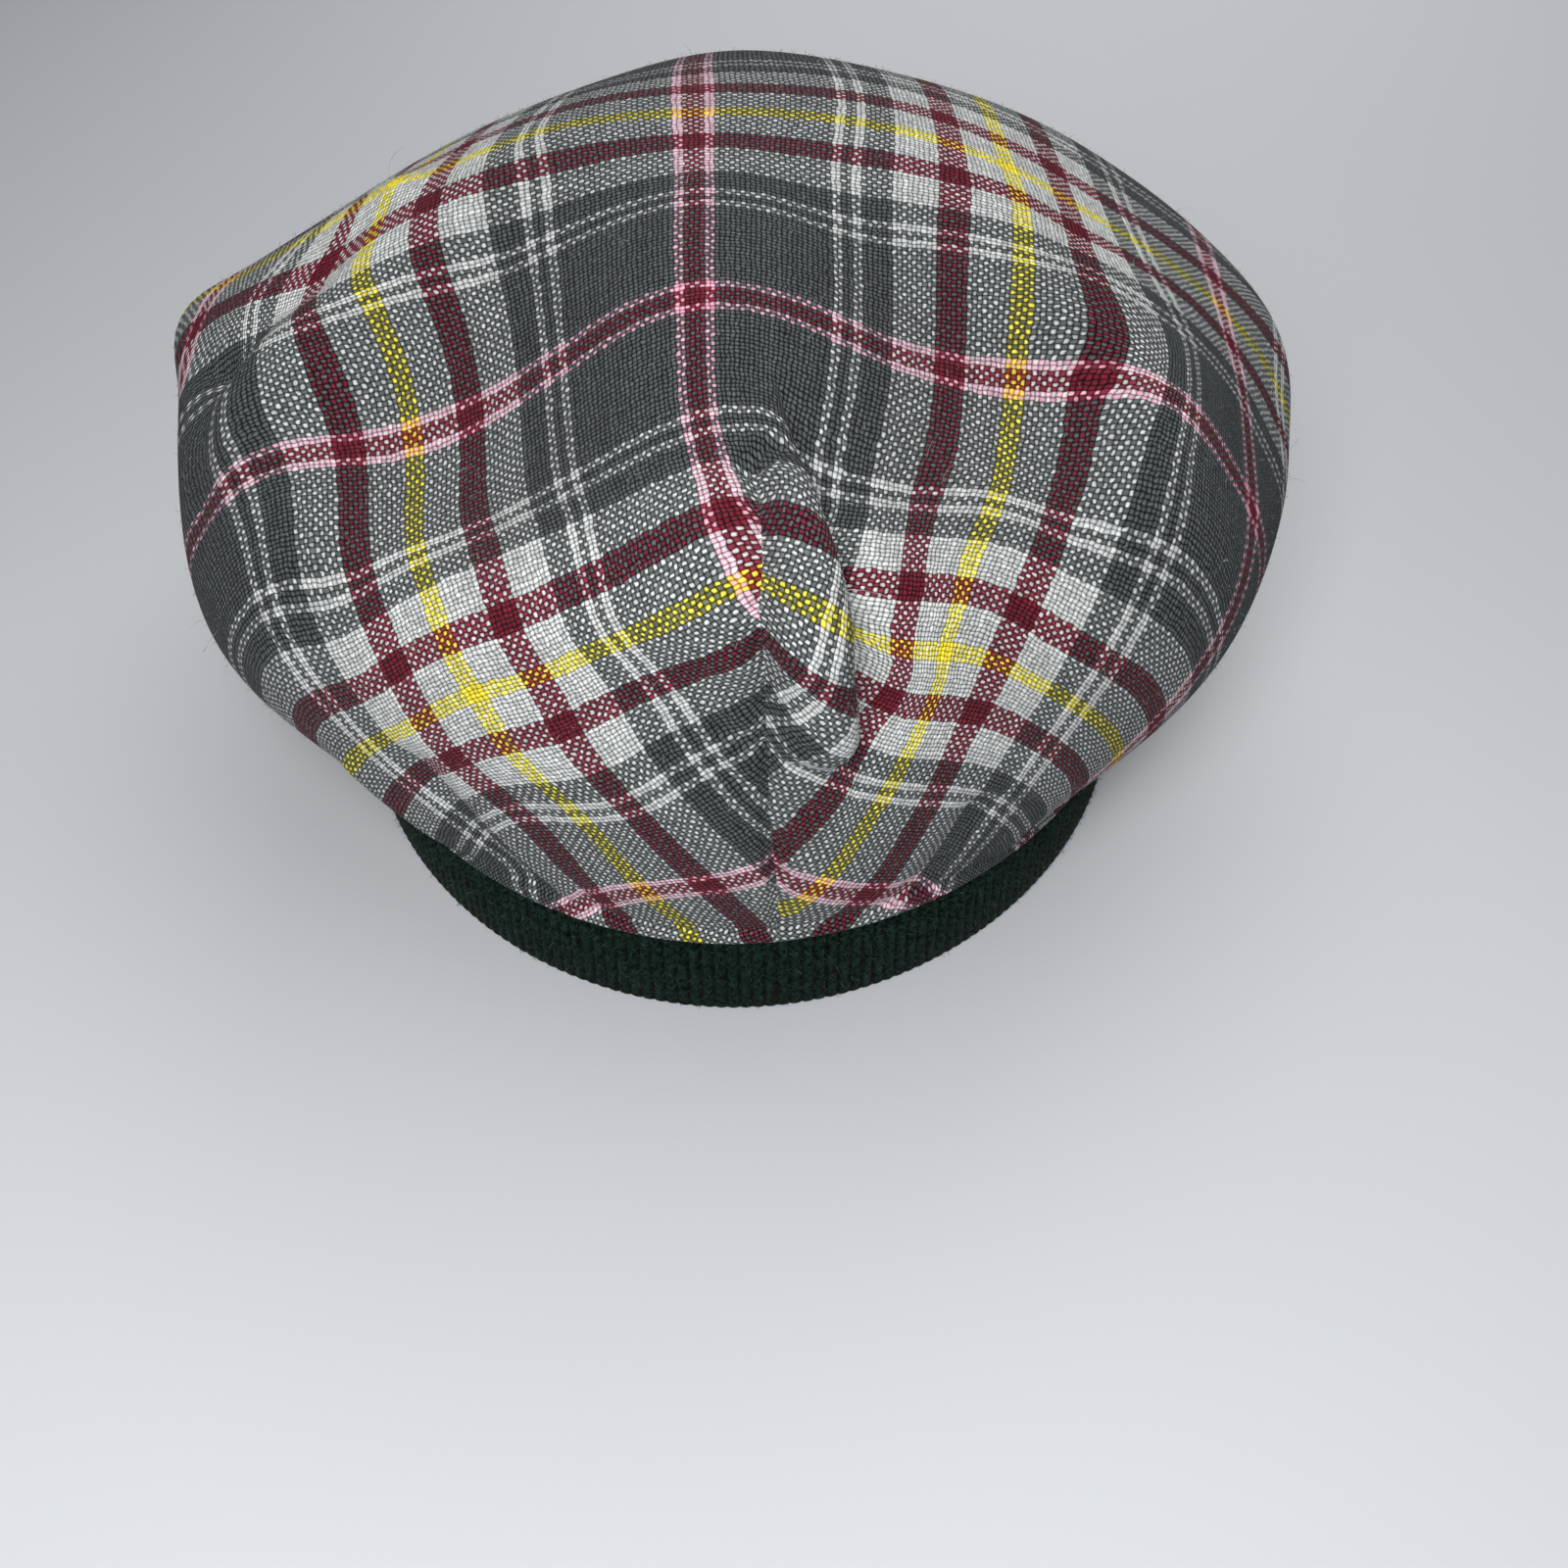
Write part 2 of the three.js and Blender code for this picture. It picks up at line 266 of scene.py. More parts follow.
# %% Fold table
SEAM_LINE = [(4.6, 0.0), (5.0, 0.2), (4.6, 0.45), (4.0, 0.62), (3.7, 0.84), (3.7, 0.93), (3.3, 1.02),
             (3.1, 1.1), (3.5, 1.2), (3.6, 1.36)]
FOLDS = [
    # name, line of (turn, up), half width, lift at its start and end
    ("dart seam", SEAM_LINE, 1.8, (-1.8, -1.0)),
    ("dimple at the dart's point", [(3.2, 1.41), (5.2, 1.43)], 2.2, (-3.4, -3.4)),
    ("swell round the dart's point", [(2.0, 1.24), (2.0, 1.14)], 14.0, (2.5, 2.5)),
    ("left shoulder crease", [(-93, 1.55), (-87.4, 1.48), (-79.4, 1.29)], 4.5, (-0.5, -4.5)),
    ("left shoulder ridge", [(-101, 1.58), (-96, 1.47), (-93, 1.38)], 7.0, (2.5, 1.0)),
    ("left side crease", [(-80, 1.24), (-66, 1.18)], 7.0, (-3.5, -1.5)),
    ("left corner", [(-95, 1.04), (-93, 1.12)], 12.0, (5.0, 4.5)),
    ("left gather", [(-30, 0.75), (-22, 0.12)], 5.0, (-2.0, -2.2)),
    ("left gather ridge", [(-40, 0.65), (-33, 0.12)], 5.0, (2.0, 2.0)),
    ("left small gather", [(-16, 0.36), (-14, 0.08)], 3.0, (-0.6, -1.6)),
    ("right gather", [(24, 0.62), (19, 0.1)], 5.0, (-2.0, -2.0)),
    ("right small gather", [(33, 0.42), (31, 0.08)], 3.5, (0.6, 1.6)),
    ("right side dip", [(62, 1.3), (78, 1.16)], 12.0, (-1.6, -1.6)),
]
PUCKER_HALF_WIDTH = 1.6
PUCKER_DEPTH = 0.7
PUCKER_SEAM_TURN = 3.6
PUCKER_LEFT_RISE = 0.05
PUCKER_RIGHT_DROP = 0.03
# puckers where the seam's thread draws the cloth: place up the seam, turns that they reach
PUCKERS = [
    (0.97, -0.5, 6.0),
    (0.88, -0.5, 6.5),
    (0.80, 0.0, 7.0),
    (0.70, 0.5, 7.5),
    (0.58, 1.5, 8.0),
]
for pucker_up, left_turn, right_turn in PUCKERS:
    line = [(left_turn, pucker_up + PUCKER_LEFT_RISE), (PUCKER_SEAM_TURN, pucker_up),
            (right_turn, pucker_up - PUCKER_RIGHT_DROP)]
    FOLDS.append(("seam pucker", line, PUCKER_HALF_WIDTH, (-PUCKER_DEPTH, -PUCKER_DEPTH)))
FOLD_PIECES = 24
FOLD_FADE = 0.25


def fold_lift(points, up):
    """How far the folds lift each point off the smooth crown."""
    lift = np.zeros(up.shape)
    for name, line, half_width, (start, end) in FOLDS:
        place = np.linspace(0, len(line) - 1, FOLD_PIECES + 1)
        turns = np.interp(place, range(len(line)), [p[0] for p in line])
        ups = np.interp(place, range(len(line)), [p[1] for p in line])
        path = smooth_crown(turns, ups)
        best = np.full(up.shape, np.inf)
        height = np.zeros(up.shape)
        for k, (a, b) in enumerate(zip(path[:-1], path[1:])):
            t = np.clip(((points - a) @ (b - a)) / ((b - a) @ (b - a)), 0, 1)
            distance = np.linalg.norm(points - a - t[..., None] * (b - a), axis=-1)
            nearer = distance < best
            best = np.where(nearer, distance, best)
            height = np.where(nearer, start + (end - start) * (k + t) / FOLD_PIECES, height)
        lift += height * np.exp(-(best / half_width) ** 2)
    return lift


print("folds", len(FOLDS))

# %% [markdown]
# ## The roll beside the dart
# The dart gathers more cloth on its right than on its left, and the spare cloth stands up as a roll: a slow
# rise from the seam, a crest, and a steep fall into a narrow valley. A gaussian ridge would be too soft for
# that, so the roll has its own section, with its sizes listed from its lower end to its upper one.

# %% Roll
ROLL_COLUMNS = ("up", "valley_turn", "height", "valley_depth")
ROLL = np.array([
    (0.74, 8.6, 0.0, 0.0),
    (0.79, 9.6, 1.6, 0.8),
    (0.83, 10.8, 5.0, 1.8),
    (0.87, 11.2, 6.4, 2.4),
    (0.92, 11.0, 6.8, 2.6),
    (0.97, 10.5, 7.0, 2.8),
    (1.07, 10.0, 6.8, 2.8),
    (1.15, 9.6, 6.2, 2.6),
    (1.27, 8.8, 5.2, 2.4),
    (1.37, 8.6, 4.0, 2.0),
    (1.47, 8.0, 2.0, 1.2),
    (1.56, 7.0, 0.0, 0.0),
])
CREST = 0.6
VALLEY_STEEP_SIDE = 1.2
VALLEY_SLOW_SIDE = 6.0
ABOVE_DART = [(2.0, 1.5), (0.0, 1.75)]


def seam_turn(up):
    """Turn of the dart's seam, led on to the middle of the crown above the dart."""
    line = SEAM_LINE + ABOVE_DART
    return np.interp(up, [p[1] for p in line], [p[0] for p in line])


def roll_lift(points, turn, up):
    sizes = {name: np.interp(up, ROLL[:, 0], ROLL[:, k]) for k, name in enumerate(ROLL_COLUMNS)}
    t = np.clip((turn - seam_turn(up)) / (sizes["valley_turn"] - seam_turn(up)), 0, 1)
    rise = np.sin(np.minimum(t / CREST, 1) * math.pi / 2)
    fall = np.sqrt(1 - (np.maximum(t - CREST, 0) / (1 - CREST)) ** 2)
    past = np.radians(turn - sizes["valley_turn"]) * np.hypot(points[..., 0], points[..., 1])
    valley = np.exp(-(past / np.where(past < 0, VALLEY_STEEP_SIDE, VALLEY_SLOW_SIDE)) ** 2)
    return sizes["height"] * rise * fall - sizes["valley_depth"] * valley


print("roll", ROLL[:, 2].max(), "mm high")

# %% [markdown]
# ## The crown's grid
# The cloth is a grid of columns from band to top. One column runs down the dart's seam, so the two sides can
# show different parts of the plaid there. Columns crowd together at the back, where the folds are small.
# Below the band's edge the cloth rolls under into a soft lip and goes up again as the inner face.

# %% Crown grid
COLUMNS = 440
BACK_CROWDING = 0.7
UNDER_STEPS = 46
ROOF_STEPS = 108
INNER_STEPS = 30
CROWN_WALL = 2.0
SEAM_PULL = 30
# lip at the band: out from the band and down from the crown's foot
LIP = [(1.3, 0.5), (1.8, 1.2), (1.9, 1.8), (1.6, 2.3), (1.0, 2.5), (0.5, 2.1), (0.3, 1.0), (0.2, 0.0)]
LIP_SWELL = 1.2
LIP_SWELL_UP = 0.07
LIP_EASE = 1.5
HEM_STEPS = 3
LIP_END_TURN = 112
LIP_FADE_TURN = 14
LIP_LEAST = 0.12
RELIEF = 0.7
RELIEF_SIZE = 34

evenly = -1 + 2 * np.arange(COLUMNS) / COLUMNS
column_turn = 180 * (evenly - BACK_CROWDING / math.pi * np.sin(math.pi * evenly))
SEAM_COLUMN = COLUMNS // 2
outer_up = np.concatenate([np.arange(UNDER_STEPS) / UNDER_STEPS, 1 + np.arange(ROOF_STEPS) / ROOF_STEPS])


def seam_following(up):
    """Turns of all the columns at one level, drawn aside so that the middle one stays on the dart."""
    return column_turn + seam_turn(up) * np.exp(-(column_turn / SEAM_PULL) ** 2)


def lip_share(turn):
    """The lip shows at the back and sides and thins to a plain edge over the peak."""
    return np.clip((LIP_END_TURN - np.abs(turn)) / LIP_FADE_TURN, LIP_LEAST, 1)


def cloth_points(levels, depth):
    turn = np.array([seam_following(up) for up in levels])
    up = np.repeat(np.asarray(levels)[:, None], COLUMNS, axis=1)
    base = smooth_crown(turn, up)
    normal = outward(turn, up)
    relief = [RELIEF * noise.noise(p / RELIEF_SIZE) for p in base.reshape(-1, 3)]
    lift = fold_lift(base, up) + roll_lift(base, turn, up) + np.array(relief).reshape(up.shape)
    lift *= np.minimum(1, up / FOLD_FADE)
    swell = LIP_SWELL * lip_share(turn) * np.exp(-(up / LIP_SWELL_UP) ** 2)
    base += around(swell, turn, 0 * swell)
    points = base + normal * (lift - depth)[..., None]
    return points, base, normal, turn


outer, outer_smooth, outer_normal, outer_turn = cloth_points(outer_up, 0)
inner_up = np.linspace(0, 2, INNER_STEPS, endpoint=False)
inner = cloth_points(inner_up, CROWN_WALL)[0]
inner[0, :, 2] = FOOT
foot_turn = outer_turn[0]
foot_share = lip_share(foot_turn)
lip_rows = [around(band_radius(foot_turn) + out * foot_share, foot_turn, FOOT - down * foot_share)
            for out, down in LIP]
print("outer grid", outer.shape)

# %% [markdown]
# ## Laying the plaid
# A weaver's plaid is straight on the cut cloth and bends only with the cloth. So every point of the crown
# gets its place on the flat cut, along the weft and the warp. The cut has a scale of its own, nearly a
# quarter larger than the crown, so that the stripes come out as wide as in the photograph. First a rule: the
# distance down from the top gives how far out the point lies, its turn gives the direction, and the dart
# takes a wedge out of the cut. Then the cloth is drawn a little so that the stripes cross where the
# photograph shows them.

# %% Flat cut
TOP_PLACE = np.array([8.0, 59.5])
CLOTH_EASE = 1.135
DART_POINT = 118.0
DART_TURN = math.radians(-0.8)
DART_LEFT = math.radians(27)
DART_RIGHT = math.radians(39)
DART_SPREAD = 2.4
FOLD_SOFTENING = 12
LEAST_REACH = 30
ON_SEAM = 1e-6


def row_lengths(points):
    """Length along each row from the dart's column, to the right and, as a negative number, to the left."""
    steps = np.linalg.norm(np.diff(points, axis=1, append=points[:, :1]), axis=-1)
    run = np.concatenate([np.zeros((len(points), 1)), np.cumsum(steps, axis=1)[:, :-1]], axis=1)
    return run - run[:, SEAM_COLUMN:SEAM_COLUMN + 1]


def spread_over_rows(values):
    """Softens a value from row to row, because real cloth can't shear suddenly below the end of a fold."""
    reach = np.arange(-3 * FOLD_SOFTENING, 3 * FOLD_SOFTENING + 1)
    weights = np.exp(-(reach / FOLD_SOFTENING) ** 2)
    padded = np.pad(values, ((reach[-1], reach[-1]), (0, 0)), mode="edge")
    return sum(w * padded[k:k + len(values)] for k, w in enumerate(weights / weights.sum()))


def lay_flat(seam_side):
    """Places on the flat cut. seam_side says which side of the dart the seam's own column belongs to."""
    steps = np.linalg.norm(np.diff(outer_smooth, axis=0), axis=-1)
    tucked = outer_up[:-1] < FOLD_FADE
    steps[tucked] = np.linalg.norm(np.diff(outer, axis=0), axis=-1)[tucked]
    run = np.concatenate([np.zeros((1, COLUMNS)), np.cumsum(steps, axis=0)])
    top = smooth_crown(0.0, 2.0)
    reach = CLOTH_EASE * (run[-1] - run + np.linalg.norm(outer_smooth[-1] - top, axis=-1))
    angle = np.radians(np.broadcast_to(column_turn, reach.shape))
    folded_in = spread_over_rows(row_lengths(outer) - row_lengths(outer_smooth))
    angle = angle + folded_in / np.maximum(reach, LEAST_REACH) * (1 - np.abs(angle) / math.pi)
    x, y = reach * np.sin(angle), -reach * np.cos(angle)
    far = np.hypot(x, y + DART_POINT)
    swing = np.arctan2(x, -(y + DART_POINT))
    side = np.where(np.abs(swing) < ON_SEAM, seam_side, np.sign(swing))
    wedge = np.where(side < 0, DART_LEFT, DART_RIGHT)
    swing = swing + side * wedge * (1 - np.abs(swing) / math.pi) ** DART_SPREAD
    x, y = far * np.sin(swing), -far * np.cos(swing) - DART_POINT
    cosine, sine = math.cos(DART_TURN), math.sin(DART_TURN)
    return np.stack([TOP_PLACE[0] + x * cosine - y * sine, TOP_PLACE[1] + x * sine + y * cosine], -1)


# %% [markdown]
# The ties are read off the photograph: the column and row where two stripes cross or one stripe passes, with
# the stripes given as places on the cut, counted from the middle of the plaid. Those round the left corner
# only keep the plaid calm: a fold in the photograph hides cloth there, and this crown has no such fold.

# %% Ties to the photograph
WHITES, MAROON, YELLOW, OUTER_MAROON, OUTER_WHITES, PINK = 32.8, 55.5, 70.0, 84.5, 107.2, 140.0
BLOCK = 42.7
SEAM_AT_YELLOW, SEAM_AT_MAROON = 15.3, 18.3
TIES = [
    # warp stripe, then the weft stripe, column and row of each tie along it; a stripe may be left open
    (0, [(OUTER_WHITES, 707, 65), (OUTER_MAROON, 707, 90), (YELLOW, 707, 115), (MAROON, 707, 145),
        (WHITES, 709, 199), (0, 709, 300), (-WHITES, 716, 438), (-MAROON, 745, 522), (-YELLOW, 766, 592)]),
    # left of the middle
    (-WHITES, [(YELLOW, 540, 137), (MAROON, 547, 173), (WHITES, 553, 249), (-OUTER_MAROON, 670, 702),
        (None, 712, 762), (None, 750, 805)]),
    (None, [(-MAROON, 650, 566), (-YELLOW, 680, 638), (-OUTER_MAROON, 720, 680),
        (-OUTER_MAROON, 770, 656)]),
    (-MAROON, [(MAROON, 437, 206), (WHITES, 447, 287), (0, 482, 424), (-WHITES, 489, 538),
        (-MAROON, 517, 630), (-YELLOW, 548, 686), (-OUTER_MAROON, 577, 738), (None, 652, 840),
        (-PINK, 722, 905)]),
    (None, [(-OUTER_WHITES, 638, 827), (-OUTER_WHITES, 700, 790), (-OUTER_WHITES, 755, 765)]),
    (-YELLOW, [(MAROON, 376, 240), (WHITES, 380, 306), (0, 422, 444), (-WHITES, 424, 566),
        (-MAROON, 455, 655), (-YELLOW, 485, 706), (-OUTER_MAROON, 512, 762), (None, 600, 840),
        (-PINK, 658, 908)]),
    (-OUTER_MAROON, [(MAROON, 318, 278), (WHITES, 313, 324), (0, 357, 458), (-WHITES, 369, 597),
        (-MAROON, 403, 675), (-YELLOW, 428, 735), (-OUTER_MAROON, 462, 780), (None, 552, 855),
        (-PINK, 610, 918)]),
    (-OUTER_WHITES, [(0, 240, 488), (None, 258, 560), (-WHITES, 272, 615)]),
    # round the left corner
    (-OUTER_WHITES, [(None, 301, 263), (None, 257, 301)]),
    (-PINK, [(None, 203, 335)]),
    (-125, [(None, 178, 450)]),
    # along the hem, left and right of the dart
    (-OUTER_MAROON, [(-OUTER_WHITES, 528, 828)]),
    (OUTER_WHITES, [(-126, 985, 880)]),
    (100, [(-138, 942, 905)]),
    # the roll beside the dart
    (None, [(-WHITES, 765, 423), (-WHITES, 788, 433), (-WHITES, 808, 455), (-BLOCK, 778, 461),
        (-BLOCK, 803, 476), (-MAROON, 788, 520), (-MAROON, 808, 531), (-MAROON, 826, 552)]),
    (SEAM_AT_YELLOW, [(None, 781, 580)]),
    (None, [(-YELLOW, 790, 592), (-YELLOW, 815, 614), (-YELLOW, 838, 631)]),
    (SEAM_AT_MAROON, [(None, 783, 658)]),
    (None, [(-OUTER_MAROON, 790, 666), (-OUTER_MAROON, 820, 690), (-OUTER_MAROON, 850, 712),
        (-OUTER_MAROON, 868, 723)]),
    (WHITES, [(None, 847, 660), (None, 841, 675), (None, 829, 703), (None, 814, 735)]),
    (BLOCK, [(None, 862, 735), (None, 845, 760), (None, 877, 555), (None, 872, 605), (None, 872, 640),
        (None, 880, 690)]),
    (None, [(-OUTER_WHITES, 805, 775), (-OUTER_WHITES, 850, 795), (-OUTER_WHITES, 980, 815)]),
    # right of the middle
    (WHITES, [(OUTER_MAROON, 868, 98), (YELLOW, 868, 123), (MAROON, 865, 158), (WHITES, 864, 231),
        (None, 850, 450), (None, 843, 510)]),
    (MAROON, [(YELLOW, 967, 147), (MAROON, 977, 181), (WHITES, 974, 245), (0, 968, 378),
        (-WHITES, 945, 509), (-MAROON, 930, 597), (-YELLOW, 924, 665), (-OUTER_MAROON, 905, 725),
        (None, 835, 825)]),
    (None, [(-PINK, 815, 904)]),
    (YELLOW, [(YELLOW, 1028, 172), (MAROON, 1043, 197), (WHITES, 1046, 262), (0, 1037, 383),
        (-WHITES, 1016, 510), (-MAROON, 980, 603), (-YELLOW, 960, 663), (-OUTER_MAROON, 943, 725),
        (None, 880, 842), (-PINK, 832, 908)]),
    (OUTER_MAROON, [(MAROON, 1097, 237), (WHITES, 1110, 275), (0, 1110, 393), (-WHITES, 1078, 538),
        (-MAROON, 1045, 627), (-YELLOW, 1022, 678), (-OUTER_MAROON, 996, 732), (None, 935, 845),
        (-PINK, 887, 912)]),
    (OUTER_WHITES, [(WHITES, 1215, 345), (0, 1216, 417), (None, 1195, 535)]),
    (PINK, [(MAROON, 1255, 350)]),
]
TIE_SPREAD = 55
TIE_SLACK = 0.01
NEAR_FIRST = 0.4
OUT_OF_SIGHT = 1e6


def draw_to_ties(flats):
    """Moves the laid cloth so that each tie's stripes lie at its pixel, fading out with distance."""
    column, row, depth = photo_place(outer)
    facing = ((CAMERA_PLACE - outer) * outer_normal).sum(-1) > 0
    anchors, wanted = [], []
    ties = [(warp, *tie) for warp, along in TIES for tie in along]
    for warp, weft, tie_column, tie_row in ties:
        miss = np.hypot(column - tie_column, row - tie_row) + NEAR_FIRST * depth
        miss += np.where(facing, 0, OUT_OF_SIGHT)
        at = np.unravel_index(np.argmin(miss), miss.shape)
        anchors.append(flats[int(at[1] >= SEAM_COLUMN)][at])
        wanted.append([math.nan if stripe is None else stripe for stripe in (warp, weft)])
    anchors, wanted = np.array(anchors), np.array(wanted)

    def pull(a, b):
        near = math.sqrt(3) * np.linalg.norm(a[..., None, :] - b, axis=-1) / TIE_SPREAD
        return (1 + near) * np.exp(-near)

    drawn = [flat.copy() for flat in flats]
    for axis in (0, 1):
        known = ~np.isnan(wanted[:, axis])
        places, moves = anchors[known], (wanted - anchors)[known, axis]
        weights = np.linalg.solve(pull(places, places) + TIE_SLACK * np.eye(len(places)), moves)
        for flat, moved in zip(flats, drawn):
            moved[..., axis] += pull(flat, places) @ weights
        print("ties", len(places), "mean move on the cut", np.abs(moves).mean().round(1))
    return drawn


cut_left, cut_right = draw_to_ties([lay_flat(side) for side in (-1, 1)])

# %% Crown mesh
top_outer = smooth_crown(0.0, 2.0)
rows = np.concatenate([outer[::-1], lip_rows, inner])
grid_points = rows.reshape(-1, 3)
points = np.concatenate([grid_points, [top_outer], [top_outer - [0, 0, CROWN_WALL]]])
ring = np.arange(COLUMNS)
after = (ring + 1) % COLUMNS
quads = grid_faces(len(rows), COLUMNS)
last = (len(rows) - 1) * COLUMNS
fan_outer = np.stack([np.full(COLUMNS, len(grid_points)), ring, after], -1)
fan_inner = np.stack([np.full(COLUMNS, len(grid_points) + 1), last + after, last + ring], -1)
crown = add_object("crown_cloth", points, quads.tolist() + fan_outer.tolist() + fan_inner.tolist())


def whole_cut(cut):
    """Cut places for every point of the crown mesh: outer face, lip, inner face and the two tops."""
    lip_steps = np.linalg.norm(np.diff(np.stack([outer[0], *lip_rows]), axis=0), axis=-1)
    below = np.cumsum(lip_steps, axis=0)[..., None]
    fall = cut[0] - cut[HEM_STEPS]
    fall = fall / np.linalg.norm(fall, axis=-1, keepdims=True)
    lip_cut = cut[0] + LIP_EASE * below * fall
    inner_cut = np.array([[np.interp(inner_up, outer_up, cut[:, k, axis]) for k in range(COLUMNS)]
                          for axis in (0, 1)]).transpose(2, 1, 0)
    stack = np.concatenate([cut[::-1], lip_cut, inner_cut])
    return np.concatenate([stack.reshape(-1, 2), [cut[-1].mean(axis=0)], [cut[-1].mean(axis=0)]])


places = [whole_cut(cut_left), whole_cut(cut_right)]
corners = np.concatenate([quads.ravel(), fan_outer.ravel(), fan_inner.ravel()])
quad_column = np.repeat(np.tile(ring, len(rows) - 1), 4)
fan_column = np.repeat(ring, 3)
face_column = np.concatenate([quad_column, fan_column, fan_column])
on_left = (face_column < SEAM_COLUMN)[:, None]
cloth_place = np.where(on_left, places[0][corners], places[1][corners]) * MM
crown.data.uv_layers.new(name="cloth").data.foreach_set("uv", cloth_place.ravel())
print("crown", len(crown.data.vertices), "points")

# %% [markdown]
# ## The weave
# Close up the cloth is a plain weave: each warp thread passes over one weft thread and under the next, so a
# stripe of one colour is half hidden and every block of the plaid is a fine check of two colours. The
# weave group finds the thread under a point, looks its colour up in the sett, and picks the upper one. The
# gaps between the threads get a painted shade, darker the lower they lie.

# %% Sett
HALF_SETT = 70.0
CHARCOAL = linear(93, 98, 99)
WHITE = linear(216, 218, 217)
MAROON_YARN = linear(127, 34, 56)
PINK_YARN = linear(236, 184, 202)
YELLOW_YARN = linear(255, 240, 88)
# threads counted from the middle of the pink-edged stripe to the middle of the yellow one
SETT = [
    (0, MAROON_YARN), (2, PINK_YARN), (4, CHARCOAL), (27, WHITE), (29, CHARCOAL), (31, WHITE),
    (33, CHARCOAL), (39, WHITE), (48, MAROON_YARN), (54, WHITE), (62, YELLOW_YARN),
]
SETT_THREADS = 64
print("sett", 2 * SETT_THREADS, "threads wide")


# %% Shader helpers
def new_group(name, inputs, outputs):
    tree = bpy.data.node_groups.new(name, "ShaderNodeTree")
    for direction, sockets in (("INPUT", inputs), ("OUTPUT", outputs)):
        for socket_name, kind, value in sockets:
            socket = tree.interface.new_socket(socket_name, in_out=direction, socket_type=kind)
            if value is not None:
                socket.default_value = value
    return tree, tree.nodes.new("NodeGroupInput"), tree.nodes.new("NodeGroupOutput")


def new_material(name):
    material = bpy.data.materials.new(name)
    material.use_nodes = True
    return material, material.node_tree, material.node_tree.nodes["Principled BSDF"]


def set_inputs(node, values):
    for socket_name, value in values.items():
        node.inputs[socket_name].default_value = value


def feed(tree, sockets, values):
    """Gives each socket a plain number or colour, or a link from another node."""
    for socket, value in zip(sockets, values):
        if isinstance(value, (int, float, tuple)):
            socket.default_value = value
        else:
            tree.links.new(value, socket)


def maths(tree, operation, *values):
    node = tree.nodes.new("ShaderNodeMath")
    node.operation = operation
    feed(tree, node.inputs, values)
    return node.outputs[0]


def mix_colour(tree, factor, first, second, blend="MIX"):
    node = tree.nodes.new("ShaderNodeMix")
    node.data_type, node.blend_type = "RGBA", blend
    feed(tree, (node.inputs[0], node.inputs[6], node.inputs[7]), (factor, first, second))
    return node.outputs[2]


def joined(tree, x, y):
    node = tree.nodes.new("ShaderNodeCombineXYZ")
    feed(tree, node.inputs, (x, y))
    return node.outputs[0]


def ranged(tree, value, start, end, results=(0.0, 1.0), curve="SMOOTHSTEP"):
    """Carries a value from one range to another and holds it at both ends."""
    node = tree.nodes.new("ShaderNodeMapRange")
    node.interpolation_type = curve
    feed(tree, node.inputs, (value, start, end, *results))
    return node.outputs[0]


def speckle(tree, place, grain, detail):
    """Soft noise over a place."""
    node = tree.nodes.new("ShaderNodeTexNoise")
    set_inputs(node, {"Scale": grain, "Detail": detail})
    tree.links.new(place, node.inputs["Vector"])
    return node


def two_shades(tree, value, spread, dark, light):
    """Dark below a spread of values, light above it."""
    ramp = tree.nodes.new("ShaderNodeValToRGB")
    stops = ramp.color_ramp.elements
    stops[0].position, stops[1].position = spread
    stops[0].color, stops[1].color = dark, light
    tree.links.new(value, ramp.inputs[0])
    return ramp.outputs[0]


def add_bump(tree, shader, height, strength, distance):
    relief = tree.nodes.new("ShaderNodeBump")
    set_inputs(relief, {"Strength": strength, "Distance": distance})
    tree.links.new(height, relief.inputs["Height"])
    tree.links.new(relief.outputs[0], shader.inputs["Normal"])


# %% Thread helpers
def sett_colour(tree, thread):
    """Colour of a whole thread from its count in the sett."""
    mirrored = maths(tree, "PINGPONG", maths(tree, "ADD", thread, 0.5), SETT_THREADS)
    ramp = tree.nodes.new("ShaderNodeValToRGB")
    ramp.color_ramp.interpolation = "CONSTANT"
    stops = ramp.color_ramp.elements
    stops.remove(stops[1])
    stops[0].position, stops[0].color = 0, SETT[0][1]
    for count, colour in SETT[1:]:
        stops.new(count / SETT_THREADS).color = colour
    tree.links.new(maths(tree, "DIVIDE", mirrored, SETT_THREADS), ramp.inputs[0])
    return ramp.outputs[0]


def random_shade(tree, place, darkest, lightest):
    """A brightness that jumps from one whole thread or crossing to the next."""
    pick = tree.nodes.new("ShaderNodeTexWhiteNoise")
    pick.noise_dimensions = "2D"
    tree.links.new(place, pick.inputs["Vector"])
    return maths(tree, "MULTIPLY_ADD", pick.outputs["Value"], lightest - darkest, darkest)


# %% Plaid weave group
THREAD_HALF = 0.5
THREAD_WAVE = 0.3
THREAD_WOBBLE = 1.3
WOBBLE_GRAIN = 420
WOBBLE_DETAIL = 2
THREAD_SEEDS = (11.5, 47.5)
THREAD_SHADES = (0.86, 1.12)
CROSSING_SHADES = (0.8, 1.2)
EDGE_BLEND = 0.06
SHOW_THROUGH = 0.03
FIBRE_GRAIN = 5200
FIBRE_DETAIL = 1
FIBRE_SHADE = 0.5
FIBRE_RELIEF = 0.25
# heights over which a gap's painted shade gives way to the upper thread, and the gaps' painted shade
# lightens
COVERED = (0.5, 0.9)
GAP = (0.3, 0.85)
GAP_SHADES = (0.3, 1.05)

